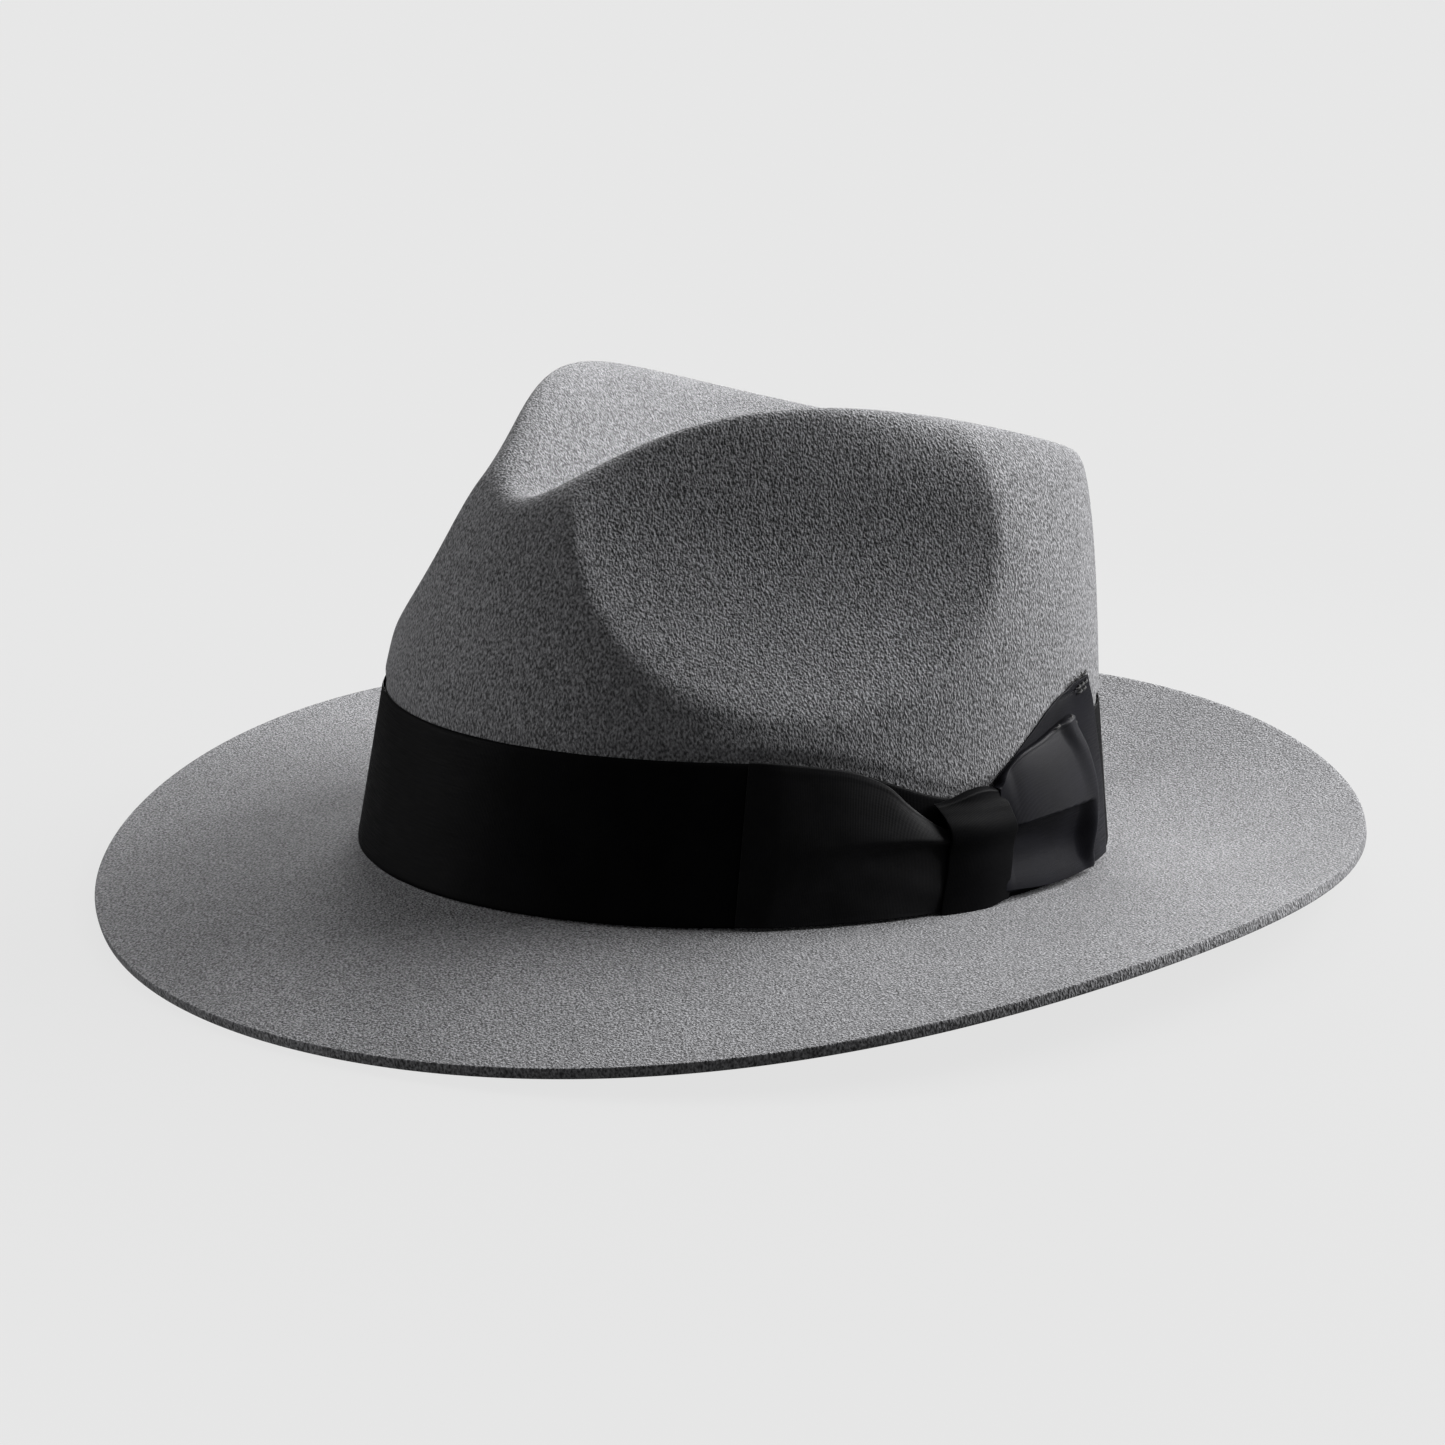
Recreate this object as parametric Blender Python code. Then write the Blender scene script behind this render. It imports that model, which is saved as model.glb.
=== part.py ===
"""A teardrop fedora: one piece of blocked felt, a ribbon with a side bow, a sweatband and a lining.

The hat is drawn in its own frame, where the head oval lies level. Its front is -Y, the wearer's left
is +X, and angles run from the front round to the wearer's left. All pieces hang on one empty, which
tips the hat back until its brim rests on the ground at z = 0.
"""
import math

import bmesh
import bpy
import numpy as np

MM = 0.001
TURN = 2 * math.pi

# Head oval, measured over the ribbon at the foot of the crown, and the crown's lean up to the ribbon's top
HEAD_LONG = 105 * MM
HEAD_WIDE = 87.5 * MM
BAND_HEIGHT = 38.5 * MM
LEAN_LONG = 7.5 * MM
LEAN_WIDE = 3.1 * MM

# Crown: the ridge round the top dent, seen from above as a teardrop with its point to the front
RIDGE_HALF_WIDTH = 55.6 * MM
RIDGE_TAPER = 0.465
RIDGE_HALF_LENGTH = 82.6 * MM
RIDGE_MIDDLE_Y = 2.6 * MM
RIDGE_BACK_HEIGHT = 95.3 * MM
RIDGE_SLOPE = 0.238
FRONT_DROP = 40.7 * MM
FRONT_DROP_SHARPNESS = 5.1
WALL_RISE = 0.10
SHOULDER_FRONT = 0.60
SHOULDER_SIDE = 0.11
SHOULDER_BACK = 0.69
RIDGE_SOFTNESS = 2.5 * MM
SOFTENED_BELOW = 8

# Dents: the top one closes on a floor line over the middle, and a thumb dent sits at each front side
FLOOR_FRONT_Y = -58 * MM
FLOOR_BACK_Y = 50 * MM
FLOOR_HEIGHTS = (89.5 * MM, 83 * MM, 80 * MM)
DENT_LEAVE = 0.35
DENT_ARRIVE = 0.55
THUMB_ANGLE = math.radians(57)
THUMB_HALF_ANGLE = math.radians(35.5)
THUMB_TOP = 92.5 * MM
THUMB_HALF_HEIGHT = 43 * MM
THUMB_DEPTH = 17.2 * MM
THUMB_SOFTNESS = 0.05
THUMB_FADE = 5

# Brim: its width along the slope, and its edge height and the head oval's height as cosine series
BRIM_WIDTH = 65.4 * MM
BRIM_CURVE = 0.25
EDGE_WAVES = (3.0 * MM, -14.6 * MM, -3.85 * MM, -1.55 * MM, 1.3 * MM)
FOOT_WAVES = (0.0, 1.6 * MM, -0.7 * MM)

# Felt and the hollow that the ribbon presses into it
CROWN_FELT = 2.0 * MM
BRIM_FELT = 2.8 * MM
RIBBON_PRESS = 0.9 * MM
GAP = 0.35 * MM

# Ribbon and bow, which gathers the ribbon at the wearer's left
RIBBON_THICK = 0.5 * MM
BOW_ANGLE = math.radians(84)
GATHER_DEPTH = 11.8 * MM
GATHER_SPREAD = math.radians(17)
# The bow's outlines are in degrees from the knot and millimetres over the crown's foot.
KNOT_LOW = 0.7
KNOT_STAND_OFF = 3.0 * MM
KNOT_THICK = 0.9 * MM
FRONT_LOOP_END = 35.3
LOOP_START = 4.0
LOOP_THICK = 2.6 * MM
LOOP_EDGE = 0.9 * MM
TAIL_LOW, TAIL_HIGH = 2.0, 49.2
TAIL_THICK = 0.4 * MM

# Sweatband, its reed and tapes, the tag, the small leather bow and the lining. Depths are in from the
# felt's inner face, and heights are over the crown's foot.
SWEATBAND_THICK = 1.0 * MM
SWEATBAND_HEIGHT = 33 * MM
SWEATBAND_FOOT_DEPTH = 2.9 * MM
SWEATBAND_DEPTH = 2.2 * MM
REED_RADIUS = 0.65 * MM
REED_HEIGHT = 1.6 * MM
TAPE_THICK = 0.45 * MM
TAPE_HEIGHT = 9 * MM
TAG_THICK = 0.4 * MM
TAG_FOOT, TAG_TOP = 19 * MM, 37 * MM
SEAM_TAPE_FOOT, SEAM_TAPE_TOP = 13 * MM, 31 * MM
SMALL_BOW_HEIGHT = 9 * MM
SMALL_BOW_WIDTH = 7.5 * MM
SMALL_BOW_WAIST = 0.45
SMALL_BOW_THICK = 0.9 * MM
LINING_THICK = 0.5 * MM
LINING_FOOT = 18 * MM
LINING_LEVELS = (28 * MM, 38.5 * MM, 48 * MM, 58 * MM)
LINING_TOP = 68 * MM
LINING_SLACK = 1.2 * MM
LINING_DOME = 3 * MM
PIPING_RADIUS = 1.0 * MM

# How finely the surfaces are cut: steps round the hat, points along one line up the crown, the angle
# over which an edge is left sharp, and the distance within which two points become one
STEPS = 60
WALL_POINTS = 36
DENT_POINTS = 24
SHARP_ANGLE = math.radians(50)
MERGE_DISTANCE = 0.01 * MM

# The search for the tilt at which the hat rests: its largest answer, and how often it halves the range
MOST_TILT = math.radians(15)
TILT_TRIES = 40

# The small slits where the ribbon's and the sweatband's ends meet, as half angles
RIBBON_SLIT = math.radians(0.15)
SWEATBAND_SLIT = math.radians(0.2)


def angles(steps=STEPS):
    """Even steps round the hat, from the front."""
    return np.arange(steps) * TURN / steps


def waves(theta, heights):
    """A cosine series: heights[i] is how much the height changes i times round the hat."""
    return sum(height * np.cos(i * theta) for i, height in enumerate(heights))


def oval(theta, long_half, wide_half, height):
    return np.stack([wide_half * np.sin(theta), -long_half * np.cos(theta), height + 0 * theta], -1)


def outward(theta):
    """Level direction straight out from the head oval."""
    normal = np.stack([np.sin(theta) / HEAD_WIDE, -np.cos(theta) / HEAD_LONG, 0 * theta], -1)
    return normal / np.linalg.norm(normal, axis=-1, keepdims=True)


def foot(theta):
    """The line where crown and brim meet."""
    return oval(theta, HEAD_LONG, HEAD_WIDE, waves(theta, FOOT_WAVES))


def band_line(theta, height, out=0.0):
    """A point on the leaning band face, at a height over the foot and a distance out from it."""
    low = foot(theta)
    high = oval(theta, HEAD_LONG - LEAN_LONG, HEAD_WIDE - LEAN_WIDE, BAND_HEIGHT + low[..., 2])
    share = np.asarray(height)[..., None] / BAND_HEIGHT
    return low + (high - low) * share + outward(theta) * np.asarray(out)[..., None]


def ribbon_top(theta):
    """Height of the ribbon's upper edge, which dips where the bow gathers it."""
    off = (theta - BOW_ANGLE + math.pi) % TURN - math.pi
    return BAND_HEIGHT - GATHER_DEPTH * np.exp(-((off / GATHER_SPREAD) ** 2))


def ridge(theta):
    """The highest line of the crown."""
    flat_x = RIDGE_HALF_WIDTH * np.sin(theta) * (1 - RIDGE_TAPER * np.cos(theta))
    flat_y = RIDGE_MIDDLE_Y - RIDGE_HALF_LENGTH * np.cos(theta)
    from_back = RIDGE_MIDDLE_Y + RIDGE_HALF_LENGTH - flat_y
    drop = FRONT_DROP * ((1 + np.cos(theta)) / 2) ** FRONT_DROP_SHARPNESS
    return np.stack([flat_x, flat_y, RIDGE_BACK_HEIGHT + RIDGE_SLOPE * from_back - drop], -1)


def dent_floor(theta):
    """The bottom line of the top dent, over the middle of the head."""
    share = (1 - np.cos(theta)) / 2
    front, middle, back = FLOOR_HEIGHTS
    height = front * (1 - share) ** 2 + 2 * middle * share * (1 - share) + back * share**2
    flat_y = FLOOR_FRONT_Y + (FLOOR_BACK_Y - FLOOR_FRONT_Y) * share
    return np.stack([0 * theta, flat_y, height], -1)


def bezier(p0, p1, p2, p3, s):
    s = s[None, :, None]
    p0, p1, p2, p3 = (p[:, None, :] for p in (p0, p1, p2, p3))
    return (1 - s) ** 3 * p0 + 3 * (1 - s) ** 2 * s * p1 + 3 * (1 - s) * s**2 * p2 + s**3 * p3


def shoulder(theta):
    """How upright the wall arrives at the ridge: 0 is a round shoulder, 1 a straight wall."""
    ends = np.where(np.cos(theta) > 0, SHOULDER_FRONT, SHOULDER_BACK)
    return SHOULDER_SIDE + (ends - SHOULDER_SIDE) * np.cos(theta) ** 2


def thumb_dents(theta, points, s):
    """Presses a scoop into each front side of the wall."""
    for side in (1, -1):
        off = (theta * side + math.pi) % TURN - math.pi - THUMB_ANGLE
        below = np.minimum(points[..., 2] - THUMB_TOP, 0) / THUMB_HALF_HEIGHT
        reach = (off[:, None] / THUMB_HALF_ANGLE) ** 2 + below**2
        inside = (1 - reach + np.sqrt((1 - reach) ** 2 + THUMB_SOFTNESS**2)) / 2
        press = THUMB_DEPTH * inside * (1 - s[None, :] ** THUMB_FADE)
        way = np.array([side * math.sin(THUMB_ANGLE), -math.cos(THUMB_ANGLE), 0])
        points = points - press[..., None] * way
    return points


def crown_lines(theta):
    """Lines up the crown wall and down into the top dent, one for each angle, softened at the ridge."""
    level = np.array([1, 1, 0])
    low = band_line(theta, BAND_HEIGHT + 0 * theta)
    lean = (low - foot(theta)) / BAND_HEIGHT
    top = ridge(theta)
    rise = (top - low)[:, 2:]
    s = np.linspace(0, 1, WALL_POINTS)
    start = low + lean * WALL_RISE * rise
    arrive = top + (low - top) * level * (1 - shoulder(theta))[:, None]
    wall = thumb_dents(theta, bezier(low, start, arrive, top, s), s)
    floor = dent_floor(theta)
    way = (floor - top) * level
    share = np.linspace(0, 1, DENT_POINTS)
    dent = bezier(top, top + way * DENT_LEAVE, floor - way * DENT_ARRIVE, floor, share)
    return soften(np.concatenate([wall, dent[:, 1:]], 1), lean)


def soften(lines, lean):
    """Averages each line over a few millimetres of its own length, across the floor line too."""
    below = lines[:, :1] - lean[:, None, :] * (np.arange(SOFTENED_BELOW, 0, -1) * MM)[None, :, None]
    across = lines[:, -2:-14:-1] * np.array([-1, 1, 1])
    whole = np.concatenate([below, lines, across], 1)
    step = np.linalg.norm(np.diff(whole, axis=1), axis=2)
    along = np.concatenate([np.zeros((len(lines), 1)), np.cumsum(step, 1)], 1)
    span = np.gradient(along, axis=1)
    first = below.shape[1]
    here = along[:, first:first + lines.shape[1]]
    weight = np.exp(-0.5 * ((here[:, :, None] - along[:, None, :]) / RIDGE_SOFTNESS) ** 2)
    weight = weight * span[:, None, :]
    weight = weight / weight.sum(2, keepdims=True)
    return weight @ whole


def brim_line(theta, share):
    """Points on the brim's upper face, from the foot of the crown out to the edge."""
    start = foot(theta)
    climb = waves(theta, EDGE_WAVES) - start[:, 2]
    reach = np.sqrt(BRIM_WIDTH**2 - climb**2)
    way = outward(theta)
    points = start[:, None, :] + way[:, None, :] * (reach[:, None] * share)[..., None]
    points[..., 2] += climb[:, None] * share * (1 - BRIM_CURVE + BRIM_CURVE * share)
    return points


def wall_at(theta, height, depth):
    """Points on the crown wall at one height over the head oval, moved straight in by a depth."""
    lines = crown_lines(theta)[:, :WALL_POINTS]
    low = band_line(theta, 0 * theta)[:, None, :]
    lines = np.concatenate([low, lines], 1)
    cut = [[np.interp(height, line[:, 2], line[:, axis]) for axis in (0, 1)] for line in lines]
    points = np.concatenate([np.array(cut), np.full((len(theta), 1), height)], 1)
    return points - outward(theta) * depth


def felt_face(theta, height, depth):
    """Points inside the hat at one height over the foot, a depth in from the felt's inner face."""
    return band_line(theta, height + 0 * theta, -RIBBON_PRESS - CROWN_FELT - depth + 0 * theta)


def new_object(name, vertices, faces, material, frame):
    """One closed piece, hung on the hat's frame."""
    mesh = bpy.data.meshes.new(name)
    mesh.from_pydata([tuple(v) for v in vertices], [], faces)
    piece = bpy.data.objects.new(name, mesh)
    bpy.context.scene.collection.objects.link(piece)
    tidy = bmesh.new()
    tidy.from_mesh(mesh)
    bmesh.ops.remove_doubles(tidy, verts=tidy.verts, dist=MERGE_DISTANCE)
    bmesh.ops.recalc_face_normals(tidy, faces=tidy.faces)
    tidy.to_mesh(mesh)
    tidy.free()
    mesh.shade_smooth()
    mesh.set_sharp_from_angle(angle=SHARP_ANGLE)
    mesh.materials.append(material)
    piece.parent = frame
    return piece


def loft(name, rings, material, frame, close_round=True):
    """Joins rings of points into a solid: each ring runs round the hat, and the rings go round a section."""
    count = len(rings[0])
    vertices = np.concatenate(rings)
    faces = []
    for j in range(len(rings)):
        below, above = j * count, (j + 1) % len(rings) * count
        for i in range(count if close_round else count - 1):
            k = (i + 1) % count
            faces.append((below + i, below + k, above + k, above + i))
    if not close_round:
        faces.append([j * count for j in range(len(rings))])
        faces.append([j * count + count - 1 for j in reversed(range(len(rings)))])
    return new_object(name, vertices, faces, material, frame)


def strip(name, theta, levels, outer, inner, material, frame, close_round=False):
    """A thin band round the hat: outer and inner give its two faces at each of its levels."""
    rings = [outer(theta, level) for level in levels]
    rings += [inner(theta, level) for level in reversed(levels)]
    return loft(name, rings, material, frame, close_round)


def patch(name, across, up, place, material, frame):
    """A thin pad on the band: place(u, v, face) gives its points, face 0 lying inside and 1 outside."""
    vertices, faces = [], []
    columns, rows = len(across), len(up)
    for face in (0, 1):
        vertices += [place(u, v, face) for u in across for v in up]
    size = columns * rows
    for i in range(columns - 1):
        for j in range(rows - 1):
            a = i * rows + j
            quad = (a, a + 1, a + rows + 1, a + rows)
            faces += [quad, tuple(size + q for q in quad)]
    edge = [i * rows for i in range(columns)]
    edge += [(columns - 1) * rows + j for j in range(1, rows)]
    edge += [i * rows + rows - 1 for i in range(columns - 2, -1, -1)]
    edge += list(range(rows - 2, 0, -1))
    for a, b in zip(edge, edge[1:] + edge[:1]):
        faces.append((a, b, size + b, size + a))
    return new_object(name, vertices, faces, material, frame)


def felt_body(material, frame):
    """Crown and brim in one sheet of felt, then thickened inwards."""
    theta = angles()
    edge_shares = np.array([1.0, 0.8, 0.6, 0.4, 0.2, 0.05])
    brim = brim_line(theta, edge_shares)
    pressed = -RIBBON_PRESS + 0 * theta
    top = ribbon_top(theta)
    band = [band_line(theta, 0 * theta, pressed), band_line(theta, top / 2, pressed)]
    band += [band_line(theta, top + 0.3 * MM, pressed), band_line(theta, top + 1.3 * MM)]
    lines = crown_lines(theta)
    picked = [*range(2, WALL_POINTS - 6, 4), *range(WALL_POINTS - 6, WALL_POINTS + 4, 2)]
    picked += range(WALL_POINTS + 5, WALL_POINTS + DENT_POINTS - 2, 4)
    picked += [WALL_POINTS + DENT_POINTS - 2]
    rings = [brim[:, i] for i in range(len(edge_shares))] + band + [lines[:, i] for i in picked]
    brim_rings = len(edge_shares)
    sheet = bmesh.new()
    grid = [[sheet.verts.new(point) for point in ring] for ring in rings[:-1]]
    last = [sheet.verts.new(rings[-1][i]) for i in range(STEPS // 2 + 1)]
    grid.append(last + last[1:-1][::-1])
    for below, above in zip(grid, grid[1:]):
        for i in range(STEPS):
            k = (i + 1) % STEPS
            corners = [below[i], below[k], above[k], above[i]]
            sheet.faces.new(sorted(set(corners), key=corners.index))
    sheet.normal_update()
    thickness = {v: BRIM_FELT for ring in grid[:brim_rings] for v in ring}
    underside = {}
    for v in list(sheet.verts):
        underside[v] = sheet.verts.new(v.co - v.normal * thickness.get(v, CROWN_FELT))
    for face in list(sheet.faces):
        sheet.faces.new([underside[v] for v in reversed(face.verts)])
    for i in range(STEPS):
        a, b = grid[0][i], grid[0][(i + 1) % STEPS]
        sheet.faces.new([b, a, underside[a], underside[b]])
    sheet.verts.index_update()
    vertices = [v.co[:] for v in sheet.verts]
    faces = [[v.index for v in face.verts] for face in sheet.faces]
    sheet.free()
    return new_object("felt_body", vertices, faces, material, frame)


def ribbon_band(material, frame):
    """The ribbon round the crown, open where its ends meet under the knot."""
    around = BOW_ANGLE + np.concatenate([[RIBBON_SLIT], angles()[1:], [TURN - RIBBON_SLIT]])
    out = {"outer": 0.0, "inner": -RIBBON_THICK}
    levels = (0.012, 0.5, 1.0)

    def face(side):
        return lambda theta, share: band_line(theta, ribbon_top(theta) * share, out[side] + 0 * theta)

    return strip("ribbon_band", around, levels, face("outer"), face("inner"), material, frame)


def on_band(theta, height, out):
    return band_line(np.array([theta]), np.array([height]), np.array([out]))[0]


def swell(v, middle, edge):
    """A pad's thickness: full in the middle of its width and thin at its long edges."""
    return edge + (middle - edge) * math.sin(math.pi * v) ** 0.6


def through(x, *stops):
    """A value read off a line of stops, each a place and the value there."""
    places, values = zip(*stops)
    return float(np.interp(x, places, values))


def on_bow(degrees, height, out):
    """A point on the bow, in degrees from the knot and millimetres."""
    return on_band(BOW_ANGLE + math.radians(degrees), height * MM, out)


def bow(material, frame):
    """Front loop, knot, rear loop and tail, each a layer over the one under it."""

    def front_loop(u, v, face):
        degrees = -FRONT_LOOP_END + (FRONT_LOOP_END - LOOP_START) * u
        top = through(degrees, (-FRONT_LOOP_END, 38.7), (-27, 37.7), (-17.8, 34.6), (-14.2, 31.6),
                      (-8.3, 23.6), (-LOOP_START, 20))
        height = KNOT_LOW + (top - KNOT_LOW) * v
        thick = swell(v, LOOP_THICK - 1.3 * MM * u**2, LOOP_EDGE)
        return on_bow(degrees, height, GAP + thick * face)

    def rear_loop(u, v, face):
        end = through(v, (0, 29.6), (0.12, 28.2), (0.5, 29.4), (0.78, 27.4), (1, 24.2))
        degrees = LOOP_START + (end - LOOP_START) * u
        top = through(degrees, (LOOP_START, 28.6), (7.5, 33.6), (14.3, 37.6), (24.2, 41.4))
        low = through(degrees, (LOOP_START, 3.2), (15, 1.9))
        thick = swell(v, LOOP_THICK - 1.4 * MM * (1 - u), LOOP_EDGE)
        return on_bow(degrees, low + (top - low) * v, 3 * GAP + thick * face)

    def tail(u, v, face):
        height = TAIL_LOW + (TAIL_HIGH - TAIL_LOW) * v
        left = through(height, (2, 3), (28, 4.2), (31.5, 5.8), (35, 9), (40, 13.6), (46.2, 20.4), (49, 25.4))
        right = through(height, (2, 37.4), (21.5, 37), (33, 35.2), (42, 33.4), (49.7, 30.9))
        return on_bow(left + (right - left) * u, height, GAP + TAIL_THICK * face)

    def knot(u, v, face):
        height = KNOT_LOW + (through(u, (0, 26.6), (0.75, 29.1), (1, 28.3)) - KNOT_LOW) * v
        left = through(height, (0, -6.2), (11.5, -5.0), (19.5, -5.3), (26.6, -7.7))
        right = through(height, (0, 6.2), (18.5, 6.8), (28.3, 4.9))
        round_over = 0.5 * MM * math.sin(math.pi * u) * face
        return on_bow(left + (right - left) * u, height, KNOT_STAND_OFF + KNOT_THICK * face + round_over)

    thirteen, nine, seven, five = (np.linspace(0, 1, n) for n in (13, 9, 7, 5))
    patch("bow_front_loop", thirteen, seven, front_loop, material, frame)
    patch("bow_rear_loop", nine, seven, rear_loop, material, frame)
    patch("bow_tail", seven, thirteen, tail, material, frame)
    patch("bow_knot", seven, nine, knot, material, frame)


def sweatband_depth(height):
    """The sweatband stands off the felt at its foot, where the reed is."""
    ease = min(max((height - 3 * MM) / (8 * MM), 0), 1)
    return SWEATBAND_FOOT_DEPTH + (SWEATBAND_DEPTH - SWEATBAND_FOOT_DEPTH) * ease


def sweatband(material, frame):
    """The leather strip inside the opening, butted at the back."""
    around = math.pi + np.concatenate([[SWEATBAND_SLIT], angles()[1:], [TURN - SWEATBAND_SLIT]])
    levels = [0.4 * MM, 3 * MM, 7 * MM, 11 * MM, 22 * MM, SWEATBAND_HEIGHT]
    return strip(
        "sweatband", around, levels,
        lambda theta, h: felt_face(theta, h, sweatband_depth(h)),
        lambda theta, h: felt_face(theta, h, sweatband_depth(h) + SWEATBAND_THICK),
        material, frame,
    )


def reed_and_tape(plastic, cloth, frame):
    """The reed in the sweatband's foot, and the cloth tape between it and the felt."""
    theta = angles()
    depth = GAP + TAPE_THICK + GAP + REED_RADIUS
    turns = np.arange(6) * TURN / 6
    rings = []
    for turn in turns:
        rings.append(felt_face(theta, REED_HEIGHT + REED_RADIUS * math.cos(turn),
                               depth + REED_RADIUS * math.sin(turn)))
    loft("sweatband_reed", rings, plastic, frame)
    strip(
        "reed_tape", theta, [0.4 * MM, TAPE_HEIGHT],
        lambda angle, h: felt_face(angle, h, GAP),
        lambda angle, h: felt_face(angle, h, GAP + TAPE_THICK),
        cloth, frame, close_round=True,
    )


def back_pieces(cloth, leather, paper, frame):
    """At the back of the opening: the strip behind the sweatband's join, its bow, and the size tag."""
    step = TURN / STEPS

    def inside(name, first, steps, low, high, depth, thick, material):
        theta = math.pi + (first + np.arange(steps + 1)) * step
        strip(
            name, theta, [low, high],
            lambda angle, h: felt_face(angle, h, depth),
            lambda angle, h: felt_face(angle, h, depth + thick),
            material, frame,
        )

    behind = GAP + LINING_THICK + GAP
    inside("sweatband_seam_tape", -1, 2, SEAM_TAPE_FOOT, SEAM_TAPE_TOP, behind, TAG_THICK, cloth)
    inside("size_tag", 2, 2, TAG_FOOT, TAG_TOP, behind, TAG_THICK, paper)

    def small_bow(u, v, face):
        theta = math.pi + (u - 0.5) * 2 * step
        waist = SMALL_BOW_WAIST + (1 - SMALL_BOW_WAIST) * abs(2 * u - 1)
        height = SMALL_BOW_HEIGHT + (v - 0.5) * SMALL_BOW_WIDTH * waist
        depth = sweatband_depth(height) + SWEATBAND_THICK + GAP + SMALL_BOW_THICK * face
        return felt_face(np.array([theta]), height, depth)[0]

    patch("sweatband_bow", np.linspace(0, 1, 9), np.linspace(0, 1, 3), small_bow, leather, frame)


def lining(material, trim, frame):
    """The satin side, the piping on its upper seam, and the satin top under the dent."""
    theta = angles()
    depth = RIBBON_PRESS + CROWN_FELT + GAP
    levels = [LINING_FOOT, *LINING_LEVELS, LINING_TOP]
    more = {level: depth + (LINING_SLACK if level > BAND_HEIGHT else 0) for level in levels}
    strip(
        "lining_wall", theta, levels,
        lambda angle, h: wall_at(angle, h, more[h]),
        lambda angle, h: wall_at(angle, h, more[h] + LINING_THICK),
        material, frame, close_round=True,
    )
    seam = wall_at(theta, LINING_TOP, more[LINING_TOP] + LINING_THICK + GAP + PIPING_RADIUS)
    way = outward(theta)
    rings = []
    for turn in np.arange(6) * TURN / 6:
        ring = seam + way * PIPING_RADIUS * math.sin(turn)
        ring[:, 2] += PIPING_RADIUS * math.cos(turn)
        rings.append(ring)
    loft("lining_piping", rings, trim, frame)
    inner = seam - way * (PIPING_RADIUS + GAP)
    middle = inner.mean(0)
    vertices, faces = [], []
    shares = (1.0, 0.75, 0.5, 0.25)
    for lift in (0.0, LINING_THICK):
        for share in shares:
            ring = middle + (inner - middle) * share
            ring[:, 2] = LINING_TOP + lift + LINING_DOME * (1 - share**2)
            vertices += list(ring)
        vertices.append([middle[0], middle[1], LINING_TOP + lift + LINING_DOME])
    size = len(shares) * STEPS + 1
    for start, flip in ((0, True), (size, False)):
        for i in range(STEPS):
            k = (i + 1) % STEPS
            for j in range(len(shares) - 1):
                a = start + j * STEPS
                quad = [a + i, a + k, a + STEPS + k, a + STEPS + i]
                faces.append(quad[::-1] if flip else quad)
            a = start + (len(shares) - 1) * STEPS
            tri = [a + i, a + k, start + size - 1]
            faces.append(tri[::-1] if flip else tri)
    faces += [[i, (i + 1) % STEPS, size + (i + 1) % STEPS, size + i] for i in range(STEPS)]
    new_object("lining_tip", vertices, faces, material, frame)


def rest_on_ground(frame, felt):
    """Tips the hat back until the front and back halves of its brim touch the ground together."""
    points = np.array([v.co[:] for v in felt.data.vertices])
    low, high = 0.0, MOST_TILT
    for _ in range(TILT_TRIES):
        tilt = (low + high) / 2
        height = points[:, 1] * math.sin(-tilt) + points[:, 2] * math.cos(tilt)
        if height[points[:, 1] < 0].min() < height[points[:, 1] > 0].min():
            low = tilt
        else:
            high = tilt
    forward = points[:, 1] * math.cos(tilt) + points[:, 2] * math.sin(tilt)
    frame.rotation_euler = (-tilt, 0, 0)
    frame.location = (0, -(forward.min() + forward.max()) / 2, -height.min())


def principled(name, colour, roughness, metallic=0.0):
    material = bpy.data.materials.new(name)
    material.use_nodes = True
    shader = material.node_tree.nodes["Principled BSDF"]
    shader.inputs["Base Color"].default_value = (*colour, 1)
    shader.inputs["Roughness"].default_value = roughness
    shader.inputs["Metallic"].default_value = metallic
    return material


def main():
    for old in list(bpy.data.objects):
        bpy.data.objects.remove(old)
    frame = bpy.data.objects.new("hat_frame", None)
    bpy.context.scene.collection.objects.link(frame)
    felt = felt_body(principled("felt", (0.16, 0.16, 0.165), 0.95), frame)
    ribbon = principled("ribbon", (0.012, 0.012, 0.014), 0.5)
    ribbon_band(ribbon, frame)
    bow(principled("bow_ribbon", (0.014, 0.014, 0.016), 0.45), frame)
    leather = principled("sweatband_leather", (0.05, 0.04, 0.035), 0.5)
    sweatband(leather, frame)
    cloth = principled("tape_cloth", (0.03, 0.03, 0.03), 0.9)
    reed_and_tape(principled("reed_plastic", (0.7, 0.7, 0.68), 0.3), cloth, frame)
    back_pieces(cloth, leather, principled("tag_paper", (0.8, 0.78, 0.72), 0.9), frame)
    satin = principled("lining_satin", (0.10, 0.10, 0.11), 0.35)
    lining(satin, principled("piping_cord", (0.03, 0.03, 0.03), 0.6), frame)
    rest_on_ground(frame, felt)


main()
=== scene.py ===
import math
import random

import bpy
import numpy as np
from mathutils import Matrix, Vector


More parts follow.
